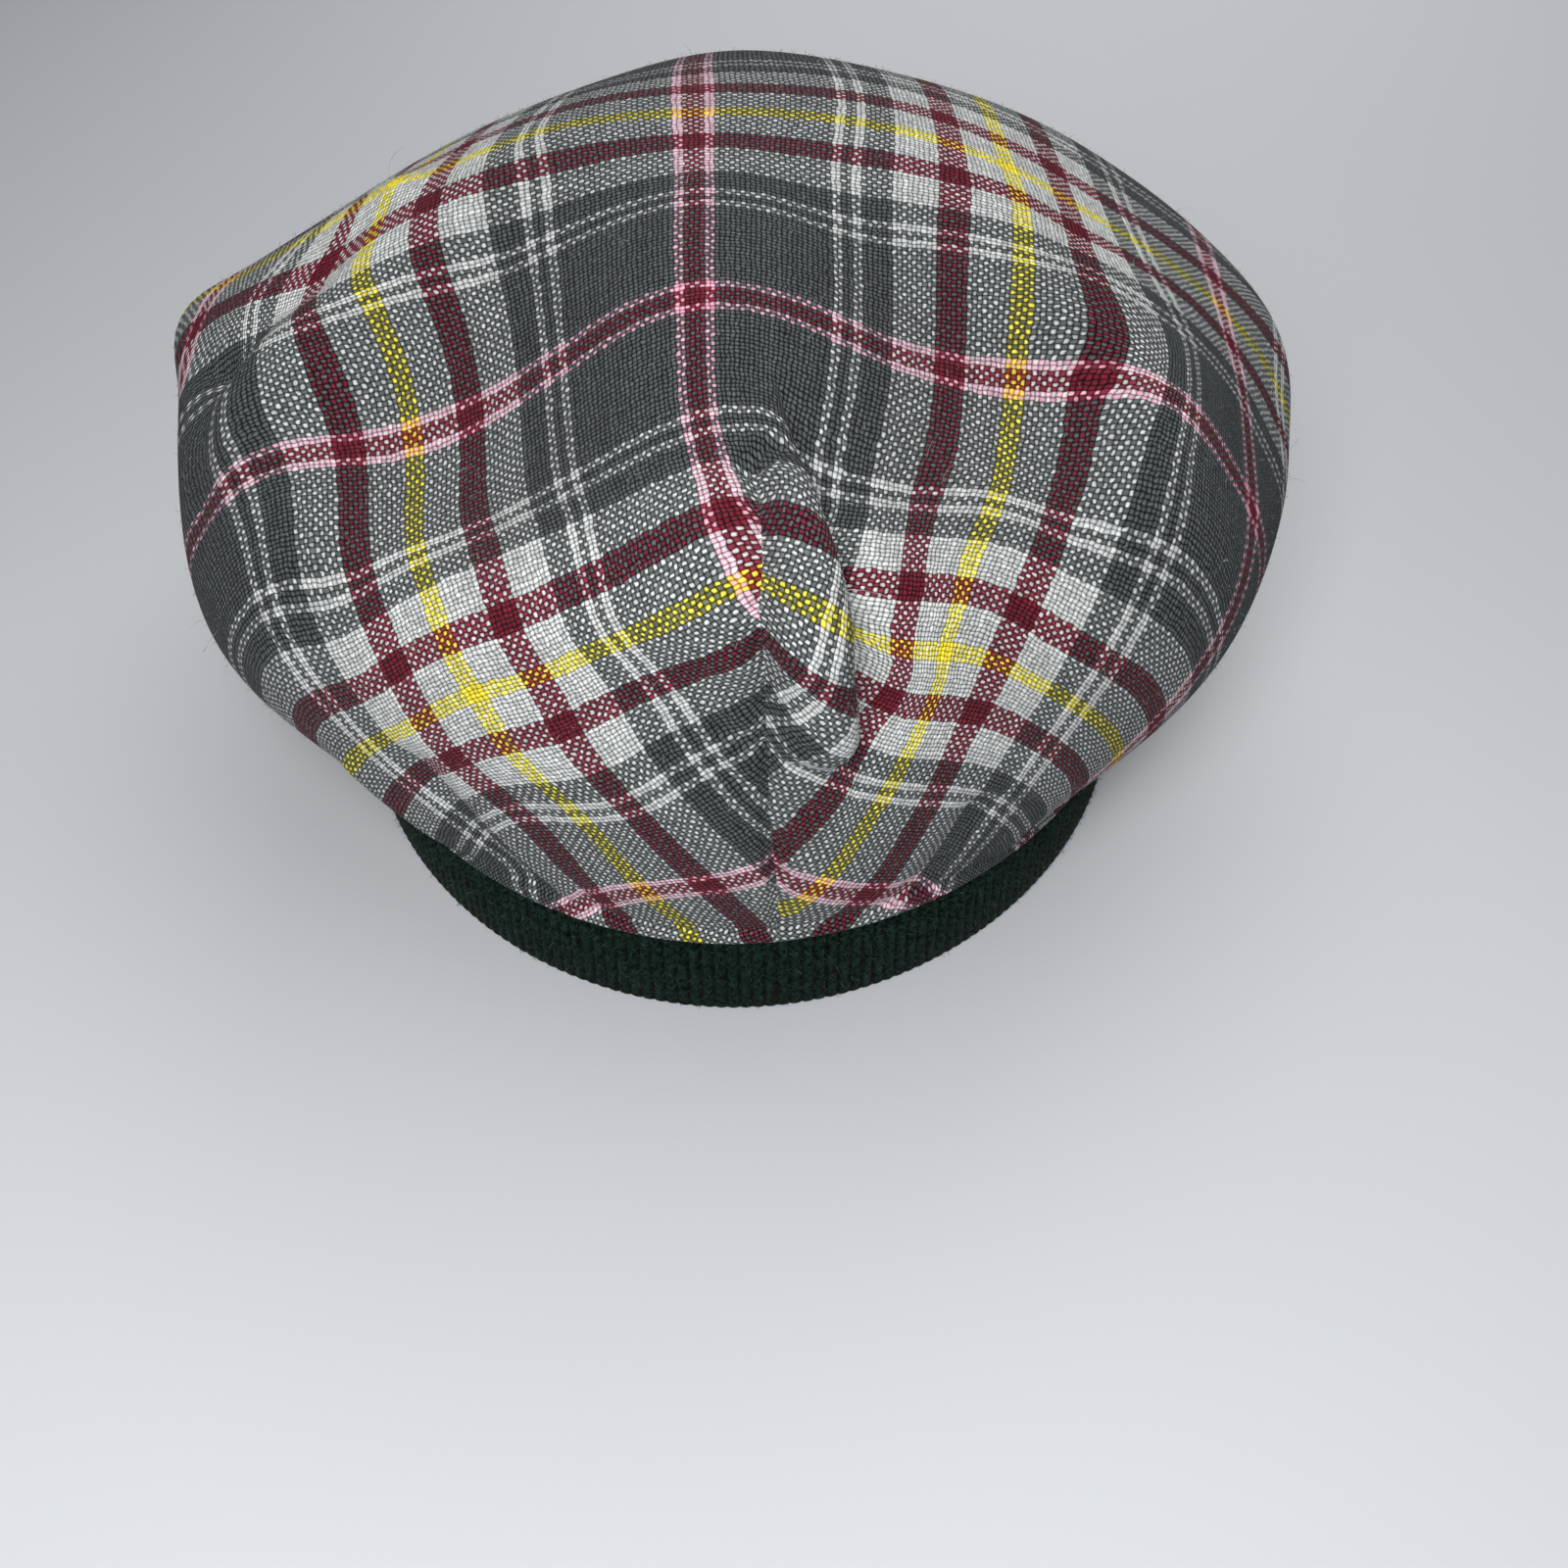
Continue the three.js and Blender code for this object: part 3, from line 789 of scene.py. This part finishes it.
weave, weave_in, weave_out = new_group(
    "plaid_weave",
    [("Cloth place", "NodeSocketVector", None),
     ("Thread pitch", "NodeSocketFloat", HALF_SETT * MM / SETT_THREADS),
     ("Wobble", "NodeSocketFloat", THREAD_WOBBLE * MM)],
    [("Colour", "NodeSocketColor", None), ("Height", "NodeSocketFloat", None)])
cloth_at = weave_in.outputs["Cloth place"]
drift = speckle(weave, cloth_at, WOBBLE_GRAIN, WOBBLE_DETAIL)
drift_split = weave.nodes.new("ShaderNodeSeparateXYZ")
weave.links.new(drift.outputs["Color"], drift_split.inputs[0])
split = weave.nodes.new("ShaderNodeSeparateXYZ")
weave.links.new(cloth_at, split.inputs[0])
threads, rounds, waves, colours = [], [], [], []
for axis, seed in enumerate(THREAD_SEEDS):
    drifted = maths(weave, "SUBTRACT", drift_split.outputs[axis], 0.5)
    moved = maths(weave, "MULTIPLY_ADD", drifted, weave_in.outputs["Wobble"], split.outputs[axis])
    count = maths(weave, "DIVIDE", moved, weave_in.outputs["Thread pitch"])
    thread = maths(weave, "FLOOR", count)
    aside = maths(weave, "SUBTRACT", maths(weave, "FRACT", count), THREAD_HALF)
    square = maths(weave, "MULTIPLY", aside, aside)
    inside = maths(weave, "SUBTRACT", THREAD_HALF ** 2, square)
    steep = maths(weave, "MULTIPLY", square, square)
    threads.append(thread)
    rounds.append(maths(weave, "SQRT", maths(weave, "MAXIMUM", inside, 0.0)))
    waves.append(maths(weave, "MULTIPLY_ADD", steep, -1 / THREAD_HALF ** 4, 1.0))
    shade = random_shade(weave, joined(weave, thread, seed), *THREAD_SHADES)
    colours.append(mix_colour(weave, 1.0, sett_colour(weave, thread), shade, "MULTIPLY"))
odd = maths(weave, "FLOORED_MODULO", maths(weave, "ADD", *threads), 2)
warp_over = maths(weave, "MULTIPLY_ADD", odd, -2 * THREAD_WAVE, THREAD_WAVE)
weft_over = maths(weave, "MULTIPLY_ADD", odd, 2 * THREAD_WAVE, -THREAD_WAVE)
warp_height = maths(weave, "MULTIPLY_ADD", warp_over, waves[1], rounds[0])
weft_height = maths(weave, "MULTIPLY_ADD", weft_over, waves[0], rounds[1])
height = maths(weave, "MAXIMUM", warp_height, weft_height)
weft_lead = maths(weave, "SUBTRACT", weft_height, warp_height)
weft_shows = ranged(weave, weft_lead, -EDGE_BLEND, EDGE_BLEND, curve="LINEAR")
shown = maths(weave, "MULTIPLY_ADD", weft_shows, 1 - 2 * SHOW_THROUGH, SHOW_THROUGH)
upper = mix_colour(weave, shown, *colours)
# painted shade in the gaps between threads: the two yarns' colours multiplied, dark wherever either is dark
between = mix_colour(weave, 1.0, *colours, "MULTIPLY")
seen = mix_colour(weave, ranged(weave, height, *COVERED), between, upper)
crossing = random_shade(weave, joined(weave, *threads), *CROSSING_SHADES)
fibre = speckle(weave, cloth_at, FIBRE_GRAIN, FIBRE_DETAIL)
fibre_shade = maths(weave, "ADD", fibre.outputs[0], FIBRE_SHADE)
# painted shade in the hollows between threads, with a faint painted highlight on the thread tops
gap_shade = ranged(weave, height, *GAP, GAP_SHADES)
# the yarn's own uneven tone at each crossing and fibre, times the painted shade of the hollows
light = maths(weave, "MULTIPLY", maths(weave, "MULTIPLY", crossing, fibre_shade), gap_shade)
weave.links.new(mix_colour(weave, 1.0, seen, light, "MULTIPLY"), weave_out.inputs["Colour"])
fuzzy_height = maths(weave, "MULTIPLY_ADD", fibre.outputs[0], FIBRE_RELIEF, height)
weave.links.new(fuzzy_height, weave_out.inputs["Height"])
print("weave nodes", len(weave.nodes))

# %% Plaid cloth finish
plaid_cloth, tree, shader = new_material("plaid_cloth")
place = tree.nodes.new("ShaderNodeUVMap")
place.uv_map = "cloth"
woven = tree.nodes.new("ShaderNodeGroup")
woven.node_tree = weave
tree.links.new(place.outputs[0], woven.inputs["Cloth place"])
tree.links.new(woven.outputs["Colour"], shader.inputs["Base Color"])
add_bump(tree, shader, woven.outputs["Height"], strength=0.9, distance=0.5 * MM)
set_inputs(shader, {"Roughness": 0.9, "Specular IOR Level": 0.08,
                    "Sheen Weight": 0.03, "Sheen Roughness": 0.5})
crown.data.materials.append(plaid_cloth)
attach(crown, "root")
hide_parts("crown")
print("plaid cloth on", len(crown.data.polygons), "faces")

# %% [markdown]
# ## The rib-knit band
# The band is knitted in ribs, about two and a half millimetres apart, and doubled over at its lower edge.
# One rib is made as a small strip: down the outer face, round the fold, up the inner face. Geometry Nodes
# then set it side by side along the outline of the head opening and weld the neighbours.

# %% One rib
RIBS = 244
RIB_RISE = 0.9
RIB_RISE_AT_FOLD = 0.25
RIB_ROUNDNESS = 0.8
RIB_ACROSS = 5
BAND_WALL = 3.0
OUTER_LEVELS = (1, 0.62, 0.3)
INNER_LEVELS = (0.5, 1)
FOLD_POINTS = 6
OUTLINE_POINTS = 720

outline_turn = np.linspace(-180, 180, OUTLINE_POINTS, endpoint=False)
outline = around(band_radius(outline_turn) - BAND_WALL / 2, outline_turn, 0 * outline_turn)
outline_length = np.linalg.norm(np.roll(outline, -1, axis=0) - outline, axis=1).sum()
rib_pitch = outline_length / RIBS

fold_radius = BAND_WALL / 2
path = [(fold_radius, level * BAND_HEIGHT) for level in OUTER_LEVELS]
path += [(fold_radius * math.cos(a), fold_radius - fold_radius * math.sin(a))
         for a in np.linspace(0, math.pi, FOLD_POINTS)]
path += [(-fold_radius, level * BAND_HEIGHT) for level in INNER_LEVELS]
path = np.array(path)
path_run = np.concatenate([[0], np.cumsum(np.linalg.norm(np.diff(path, axis=0), axis=1))])
tangent = np.gradient(path, axis=0)
tangent /= np.linalg.norm(tangent, axis=1, keepdims=True)
away = np.stack([-tangent[:, 1], tangent[:, 0]], -1)
rib_points, rib_places = [], []
for (out, z), (away_out, away_z), run in zip(path, away, path_run):
    rise = RIB_RISE if z > fold_radius else RIB_RISE_AT_FOLD
    for share in np.linspace(-0.5, 0.5, RIB_ACROSS):
        sink = -rise * (1 - math.cos(math.pi * share) ** RIB_ROUNDNESS)
        rib_points.append((share * rib_pitch, out + away_out * sink, z + away_z * sink))
        rib_places.append((share * rib_pitch, run))
rib_faces = grid_faces(len(path), RIB_ACROSS, rows_close=True, columns_close=False)[:, TURNED_OVER].tolist()
print("rib pitch", round(rib_pitch, 2), "mm", len(rib_faces), "faces")


# %% Geometry Nodes helpers
def new_nodes(name, inputs):
    tree = bpy.data.node_groups.new(name, "GeometryNodeTree")
    tree.interface.new_socket("Geometry", in_out="INPUT", socket_type="NodeSocketGeometry")
    tree.interface.new_socket("Geometry", in_out="OUTPUT", socket_type="NodeSocketGeometry")
    for socket_name, kind in inputs:
        tree.interface.new_socket(socket_name, in_out="INPUT", socket_type=kind)
    return tree, tree.nodes.new("NodeGroupInput"), tree.nodes.new("NodeGroupOutput")


def link_all(tree, links):
    """Links the nodes of a list: source and its socket, target and its socket."""
    for source, given, target, taken in links:
        tree.links.new(source.outputs[given], target.inputs[taken])


def run_nodes(host, tree, values, name):
    """Runs a node tree on an object and keeps the result as a plain mesh in a new object."""
    modifier = host.modifiers.new(name, "NODES")
    modifier.node_group = tree
    sockets = {s.name: s.identifier for s in tree.interface.items_tree if s.in_out == "INPUT"}
    for socket_name, value in values.items():
        modifier[sockets[socket_name]] = value
    bpy.context.view_layer.update()
    graph = bpy.context.evaluated_depsgraph_get()
    mesh = bpy.data.meshes.new_from_object(host.evaluated_get(graph))
    host.modifiers.remove(modifier)
    mesh.name = name
    return link_object(name, mesh)


# %% Band of ribs
rib_mesh = bpy.data.meshes.new("one_rib")
rib_mesh.from_pydata((np.array(rib_points) * MM).tolist(), [], rib_faces)
rib_mesh.shade_smooth()
lay_cloth(rib_mesh, rib_places)
rib = link_object("one_rib", rib_mesh)

outline_curve = bpy.data.curves.new("band_outline", "CURVE")
outline_curve.dimensions = "3D"
spline = outline_curve.splines.new("POLY")
spline.points.add(OUTLINE_POINTS - 1)
spline.points.foreach_set("co", np.column_stack([to_frame(outline), np.ones(OUTLINE_POINTS)]).ravel())
spline.use_cyclic_u = True
band_line = link_object("band_outline", outline_curve)

knit, knit_in, knit_out = new_nodes("ribs_round_the_band", [
    ("Rib", "NodeSocketObject"), ("Ribs", "NodeSocketInt"), ("Weld", "NodeSocketFloat"),
    ("Yarn", "NodeSocketMaterial")])
spread = knit.nodes.new("GeometryNodeResampleCurve")
strip = knit.nodes.new("GeometryNodeObjectInfo")
direction = knit.nodes.new("GeometryNodeInputTangent")
turn_out = knit.nodes.new("FunctionNodeAlignRotationToVector")
turn_out.axis = "X"
turn_out.pivot_axis = "Z"
lay = knit.nodes.new("GeometryNodeInstanceOnPoints")
real = knit.nodes.new("GeometryNodeRealizeInstances")
weld = knit.nodes.new("GeometryNodeMergeByDistance")
dye = knit.nodes.new("GeometryNodeSetMaterial")
link_all(knit, [
    (knit_in, "Geometry", spread, "Curve"), (knit_in, "Ribs", spread, "Count"),
    (knit_in, "Rib", strip, "Object"), (direction, 0, turn_out, "Vector"), (spread, 0, lay, "Points"),
    (strip, "Geometry", lay, "Instance"), (turn_out, 0, lay, "Rotation"), (lay, 0, real, 0),
    (real, 0, weld, "Geometry"), (knit_in, "Weld", weld, "Distance"), (weld, 0, dye, "Geometry"),
    (knit_in, "Yarn", dye, "Material"), (dye, 0, knit_out, 0),
])
print("knit nodes", len(knit.nodes))

# %% [markdown]
# ## Knit yarn
# The yarn is a heathered dark green: almost black, with lighter green flecks. The valleys between the ribs
# see little light, so the colour sinks there. Each stitch leans, so the bump is a row of small Vs up every
# rib.

# %% Knit finish
FLECK_GRAIN = 900
FLECK_DETAIL = 4
FLECK_SPREAD = (0.34, 0.7)
FLECK_RELIEF = 0.9
DARK_GREEN = linear(1, 6, 4)
FLECK_GREEN = linear(24, 43, 35)
# where the shade of a valley begins and ends, in rib pitches from the middle of the rib
VALLEY_START, VALLEY_END = 0.2, 0.5
VALLEY_SHADES = (1.1, 0.4)
STITCH = 1.9
STITCH_LEAN = 1.2
STITCH_RELIEF = 0.16
WELD = 0.12

rib_knit, tree, shader = new_material("rib_knit")
where = tree.nodes.new("ShaderNodeTexCoord")
fleck = speckle(tree, where.outputs["Object"], FLECK_GRAIN, FLECK_DETAIL)
heather = two_shades(tree, fleck.outputs[0], FLECK_SPREAD, DARK_GREEN, FLECK_GREEN)
stitch_place = tree.nodes.new("ShaderNodeUVMap")
stitch_place.uv_map = "cloth"
stitch_split = tree.nodes.new("ShaderNodeSeparateXYZ")
tree.links.new(stitch_place.outputs[0], stitch_split.inputs[0])
aside = maths(tree, "ABSOLUTE", stitch_split.outputs[0])
valley = ranged(tree, aside, VALLEY_START * rib_pitch * MM, VALLEY_END * rib_pitch * MM, VALLEY_SHADES)
tree.links.new(mix_colour(tree, 1.0, heather, valley, "MULTIPLY"), shader.inputs["Base Color"])
leaning = maths(tree, "SUBTRACT", stitch_split.outputs[1], maths(tree, "MULTIPLY", aside, STITCH_LEAN))
wave = maths(tree, "SINE", maths(tree, "MULTIPLY", leaning, 2 * math.pi / (STITCH * MM)))
flecks = maths(tree, "MULTIPLY", fleck.outputs[0], FLECK_RELIEF)
stitches = maths(tree, "MULTIPLY_ADD", wave, STITCH_RELIEF, flecks)
add_bump(tree, shader, stitches, strength=0.5, distance=0.4 * MM)
set_inputs(shader, {"Roughness": 0.95, "Specular IOR Level": 0.05,
                    "Sheen Weight": 0.02, "Sheen Roughness": 0.45})

rib_values = {"Rib": rib, "Ribs": RIBS, "Weld": WELD * MM, "Yarn": rib_knit}
band = run_nodes(band_line, knit, rib_values, "knit_band")
bpy.data.objects.remove(band_line)
bpy.data.objects.remove(rib)
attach(band, "root")
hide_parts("band")
print("band", len(band.data.polygons), "faces")

# %% [markdown]
# ## The peak
# A short crescent of stiff board covered with the same cloth. The photograph doesn't show it, so it stays
# plain: a smooth slope from the band to the ground with a soft rounded edge.

# %% Peak
PEAK_DEPTH = 44
PEAK_END_DEPTH = 3
PEAK_HALF_SPAN = 64
PEAK_FULLNESS = 0.62
PEAK_THICK = 3.5
PEAK_TOP_AT_BAND = 24.4
PEAK_GAP = 0.4
PEAK_SPAN_STEPS = 120
PEAK_DEPTH_STEPS = 24
PEAK_EDGE_STEPS = 8

slope = (PEAK_TOP_AT_BAND - PEAK_THICK) / PEAK_DEPTH
half_thick = PEAK_THICK / 2
depth_share = np.linspace(0, 1, PEAK_DEPTH_STEPS)
edge_turn = np.linspace(math.pi / 2, -math.pi / 2, PEAK_EDGE_STEPS + 2)[1:-1]
section = [(share, 0, 0) for share in depth_share]
section += [(1, half_thick * math.cos(a), half_thick - half_thick * math.sin(a)) for a in edge_turn]
section += [(share, 0, PEAK_THICK) for share in depth_share[::-1]]
peak_points, peak_places = [], []
for turn in np.linspace(-PEAK_HALF_SPAN, PEAK_HALF_SPAN, PEAK_SPAN_STEPS):
    full = max(0, 1 - (turn / PEAK_HALF_SPAN) ** 2) ** PEAK_FULLNESS
    deep = PEAK_END_DEPTH + (PEAK_DEPTH - PEAK_END_DEPTH - half_thick) * full
    inside = float(band_radius(180 + turn)) + PEAK_GAP
    for share, out, drop in section:
        radius = inside + deep * share + out
        z = PEAK_TOP_AT_BAND - slope * (deep * share + out) - drop
        x, y = radius * math.sin(math.radians(turn)), radius * math.cos(math.radians(turn))
        peak_points.append((x, y, z))
        peak_places.append((x, y + (drop if share == 1 else 0)))
start_face = np.arange(len(section))
end_face = start_face[::-1] + (PEAK_SPAN_STEPS - 1) * len(section)
peak_faces = grid_faces(PEAK_SPAN_STEPS, len(section)).tolist()
peak_faces += [start_face.tolist(), end_face.tolist()]
peak = add_object("covered_peak", peak_points, peak_faces)
lay_cloth(peak.data, peak_places)
peak.data.materials.append(plaid_cloth)
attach(peak, "root")
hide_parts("peak")
print("peak", len(peak.data.polygons), "faces")

# %% [markdown]
# ## Fluff
# Worn woollen cloth is never clean along its edge: short fibres stand off it everywhere and a few long hairs
# cling to it. A hair system would be lost in the export, so Geometry Nodes scatter one small bent fibre over
# the outer faces, each turned and sized at random.

# %% One fibre and one hair
FIBRE_SIDES = 3


def bent_fibre(name, thick, bends):
    """A thin three-sided stalk, about a millimetre tall, through bends of (aside, up)."""
    stalk_points = []
    for aside, rise in bends:
        for corner in range(FIBRE_SIDES):
            turned = 2 * math.pi * corner / FIBRE_SIDES
            stalk_points.append((aside + thick * math.cos(turned), thick * math.sin(turned), rise))
    stalk_faces = grid_faces(len(bends), FIBRE_SIDES)[:, TURNED_OVER].tolist()
    last_ring = FIBRE_SIDES * (len(bends) - 1)
    stalk_faces += [(2, 1, 0), (last_ring, last_ring + 1, last_ring + 2)]
    mesh = bpy.data.meshes.new(name)
    mesh.from_pydata((np.array(stalk_points) * MM).tolist(), [], stalk_faces)
    return link_object(name, mesh)


short_fibre = bent_fibre("short_fibre", thick=0.04, bends=[(0, 0), (0.12, 0.55), (0.42, 1.0)])
long_hair = bent_fibre("long_hair", thick=0.008,
                       bends=[(0, 0), (0.05, 0.3), (0.22, 0.55), (0.52, 0.72), (0.86, 0.74)])
print("fibre", len(short_fibre.data.polygons), "faces, hair", len(long_hair.data.polygons), "faces")

# %% Fluff nodes
FIBRE_TILT = 0.9
FIBRE_TURN = 3.14

fluff, fluff_in, fluff_out = new_nodes("fluff_on_cloth", [
    ("Fibre", "NodeSocketObject"), ("Density", "NodeSocketFloat"), ("Shortest", "NodeSocketFloat"),
    ("Longest", "NodeSocketFloat"), ("Seed", "NodeSocketInt"), ("Yarn", "NodeSocketMaterial")])
shows = fluff.nodes.new("GeometryNodeInputNamedAttribute")
shows.data_type = "BOOLEAN"
shows.inputs["Name"].default_value = "outer_face"
scatter = fluff.nodes.new("GeometryNodeDistributePointsOnFaces")
fibre_info = fluff.nodes.new("GeometryNodeObjectInfo")
turns = fluff.nodes.new("FunctionNodeRandomValue")
turns.data_type = "FLOAT_VECTOR"
turns.inputs[0].default_value = (-FIBRE_TILT, -FIBRE_TILT, -FIBRE_TURN)
turns.inputs[1].default_value = (FIBRE_TILT, FIBRE_TILT, FIBRE_TURN)
tilt = fluff.nodes.new("FunctionNodeRotateRotation")
tilt.rotation_space = "LOCAL"
lengths = fluff.nodes.new("FunctionNodeRandomValue")
lengths.data_type = "FLOAT"
plant = fluff.nodes.new("GeometryNodeInstanceOnPoints")
real_fluff = fluff.nodes.new("GeometryNodeRealizeInstances")
dye_fluff = fluff.nodes.new("GeometryNodeSetMaterial")
link_all(fluff, [
    (fluff_in, "Geometry", scatter, "Mesh"), (shows, 0, scatter, "Selection"),
    (fluff_in, "Density", scatter, "Density"), (fluff_in, "Seed", scatter, "Seed"),
    (fluff_in, "Fibre", fibre_info, "Object"), (fluff_in, "Seed", turns, "Seed"),
    (scatter, "Rotation", tilt, "Rotation"), (turns, 0, tilt, "Rotate By"),
    (fluff_in, "Shortest", lengths, 2), (fluff_in, "Longest", lengths, 3),
    (fluff_in, "Seed", lengths, "Seed"), (scatter, "Points", plant, "Points"),
    (fibre_info, "Geometry", plant, "Instance"), (tilt, 0, plant, "Rotation"),
    (lengths, 1, plant, "Scale"), (plant, 0, real_fluff, 0), (real_fluff, 0, dye_fluff, "Geometry"),
    (fluff_in, "Yarn", dye_fluff, "Material"), (dye_fluff, 0, fluff_out, 0),
])
print("fluff nodes", len(fluff.nodes))

# %% Fluff on the crown and the band
MOTTLE_GRAIN = 700
MOTTLE_DETAIL = 2
MOTTLE_SPREAD = (0.35, 0.65)
CLEAR_OF_FLOOR = 2.0


def fibre_material(name, dark, light):
    material, tree, shader = new_material(name)
    where = tree.nodes.new("ShaderNodeTexCoord")
    mottle = speckle(tree, where.outputs["Object"], MOTTLE_GRAIN, MOTTLE_DETAIL)
    shades = two_shades(tree, mottle.outputs[0], MOTTLE_SPREAD, dark, light)
    tree.links.new(shades, shader.inputs["Base Color"])
    set_inputs(shader, {"Roughness": 0.8})
    return material


grey_fibre = fibre_material("grey_fibre", linear(50, 55, 55), linear(160, 163, 163))
green_fibre = fibre_material("green_fibre", linear(5, 13, 9), linear(54, 75, 65))
outer_face = crown.data.attributes.new("outer_face", "BOOLEAN", "FACE")
outer_faces = (len(outer) - 1) * COLUMNS
outer_face.data.foreach_set("value", np.arange(len(crown.data.polygons)) < outer_faces)
band_face = band.data.attributes.new("outer_face", "BOOLEAN", "FACE")
looks_out = [face.normal.xy.dot(face.center.xy - Vector(RIM_MIDDLE[:2])) > 0 for face in band.data.polygons]
off_floor = [face.center.z > CLEAR_OF_FLOOR * MM for face in band.data.polygons]
band_face.data.foreach_set("value", np.logical_and(looks_out, off_floor))
FLUFF = [
    # name, cloth under it, slot, one fibre, fibres in a square metre, shortest, longest in mm, seed, yarn
    ("short_fluff", crown, "plaid_cloth", short_fibre, 90000, 0.3, 1.0, 5, grey_fibre),
    ("loose_hairs", crown, "plaid_cloth", long_hair, 700, 3.0, 7.0, 9, grey_fibre),
    ("band_fluff", band, "rib_knit", short_fibre, 600000, 0.4, 1.2, 7, green_fibre),
]
for name, cloth, slot, stalk, density, shortest, longest, seed, yarn in FLUFF:
    piece = run_nodes(cloth, fluff, {"Fibre": stalk, "Density": density, "Shortest": shortest,
                                     "Longest": longest, "Seed": seed, "Yarn": yarn}, name)
    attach(piece, "root")
    print(name, len(piece.data.polygons) // len(stalk.data.polygons), "fibres")
bpy.data.objects.remove(short_fibre)
bpy.data.objects.remove(long_hair)

# %% [markdown]
# ## Studio
# A plain pale floor under the cap, a soft light near the camera as a phone's flash would be, a wide one from
# above, another in front of the peak, and a dim even surround.

# %% Floor and lights
FLOOR_SIZE = 6
SURROUND = (0.9, 0.94, 1.0, 1)
SURROUND_STRENGTH = 0.12
LIGHTS = [
    # name, place, point that it looks at, size in metres, power in watts
    ("key", (-40, -430, 400), (0, -20, 70), 0.22, 2.9),
    ("top", (120, 150, 900), (0, 0, 60), 0.9, 2.4),
    ("front", (160, 640, 520), (0, 20, 50), 0.8, 3.0),
]

bpy.ops.mesh.primitive_plane_add(size=FLOOR_SIZE, location=(0, 0, cad_box[0][2]))
floor = bpy.context.object
floor.name = "studio_floor"
floor_paint, tree, shader = new_material("studio_floor")
set_inputs(shader, {"Base Color": linear(196, 198, 201), "Roughness": 0.8})
floor.data.materials.append(floor_paint)

for name, place, aim, size, power in LIGHTS:
    lamp = bpy.data.lights.new(name, "AREA")
    lamp.size, lamp.energy = size, power
    lamp_object = link_object(name, lamp)
    lamp_object.location = to_frame(place)
    aim_at = Vector(to_frame(aim)) - lamp_object.location
    lamp_object.rotation_euler = aim_at.to_track_quat("-Z", "Y").to_euler()
world = bpy.data.worlds.new("surround")
bpy.context.scene.world = world
world.use_nodes = True
set_inputs(world.node_tree.nodes["Background"], {"Color": SURROUND, "Strength": SURROUND_STRENGTH})
bpy.context.scene.view_settings.view_transform = "Standard"
print("lights", len(LIGHTS))
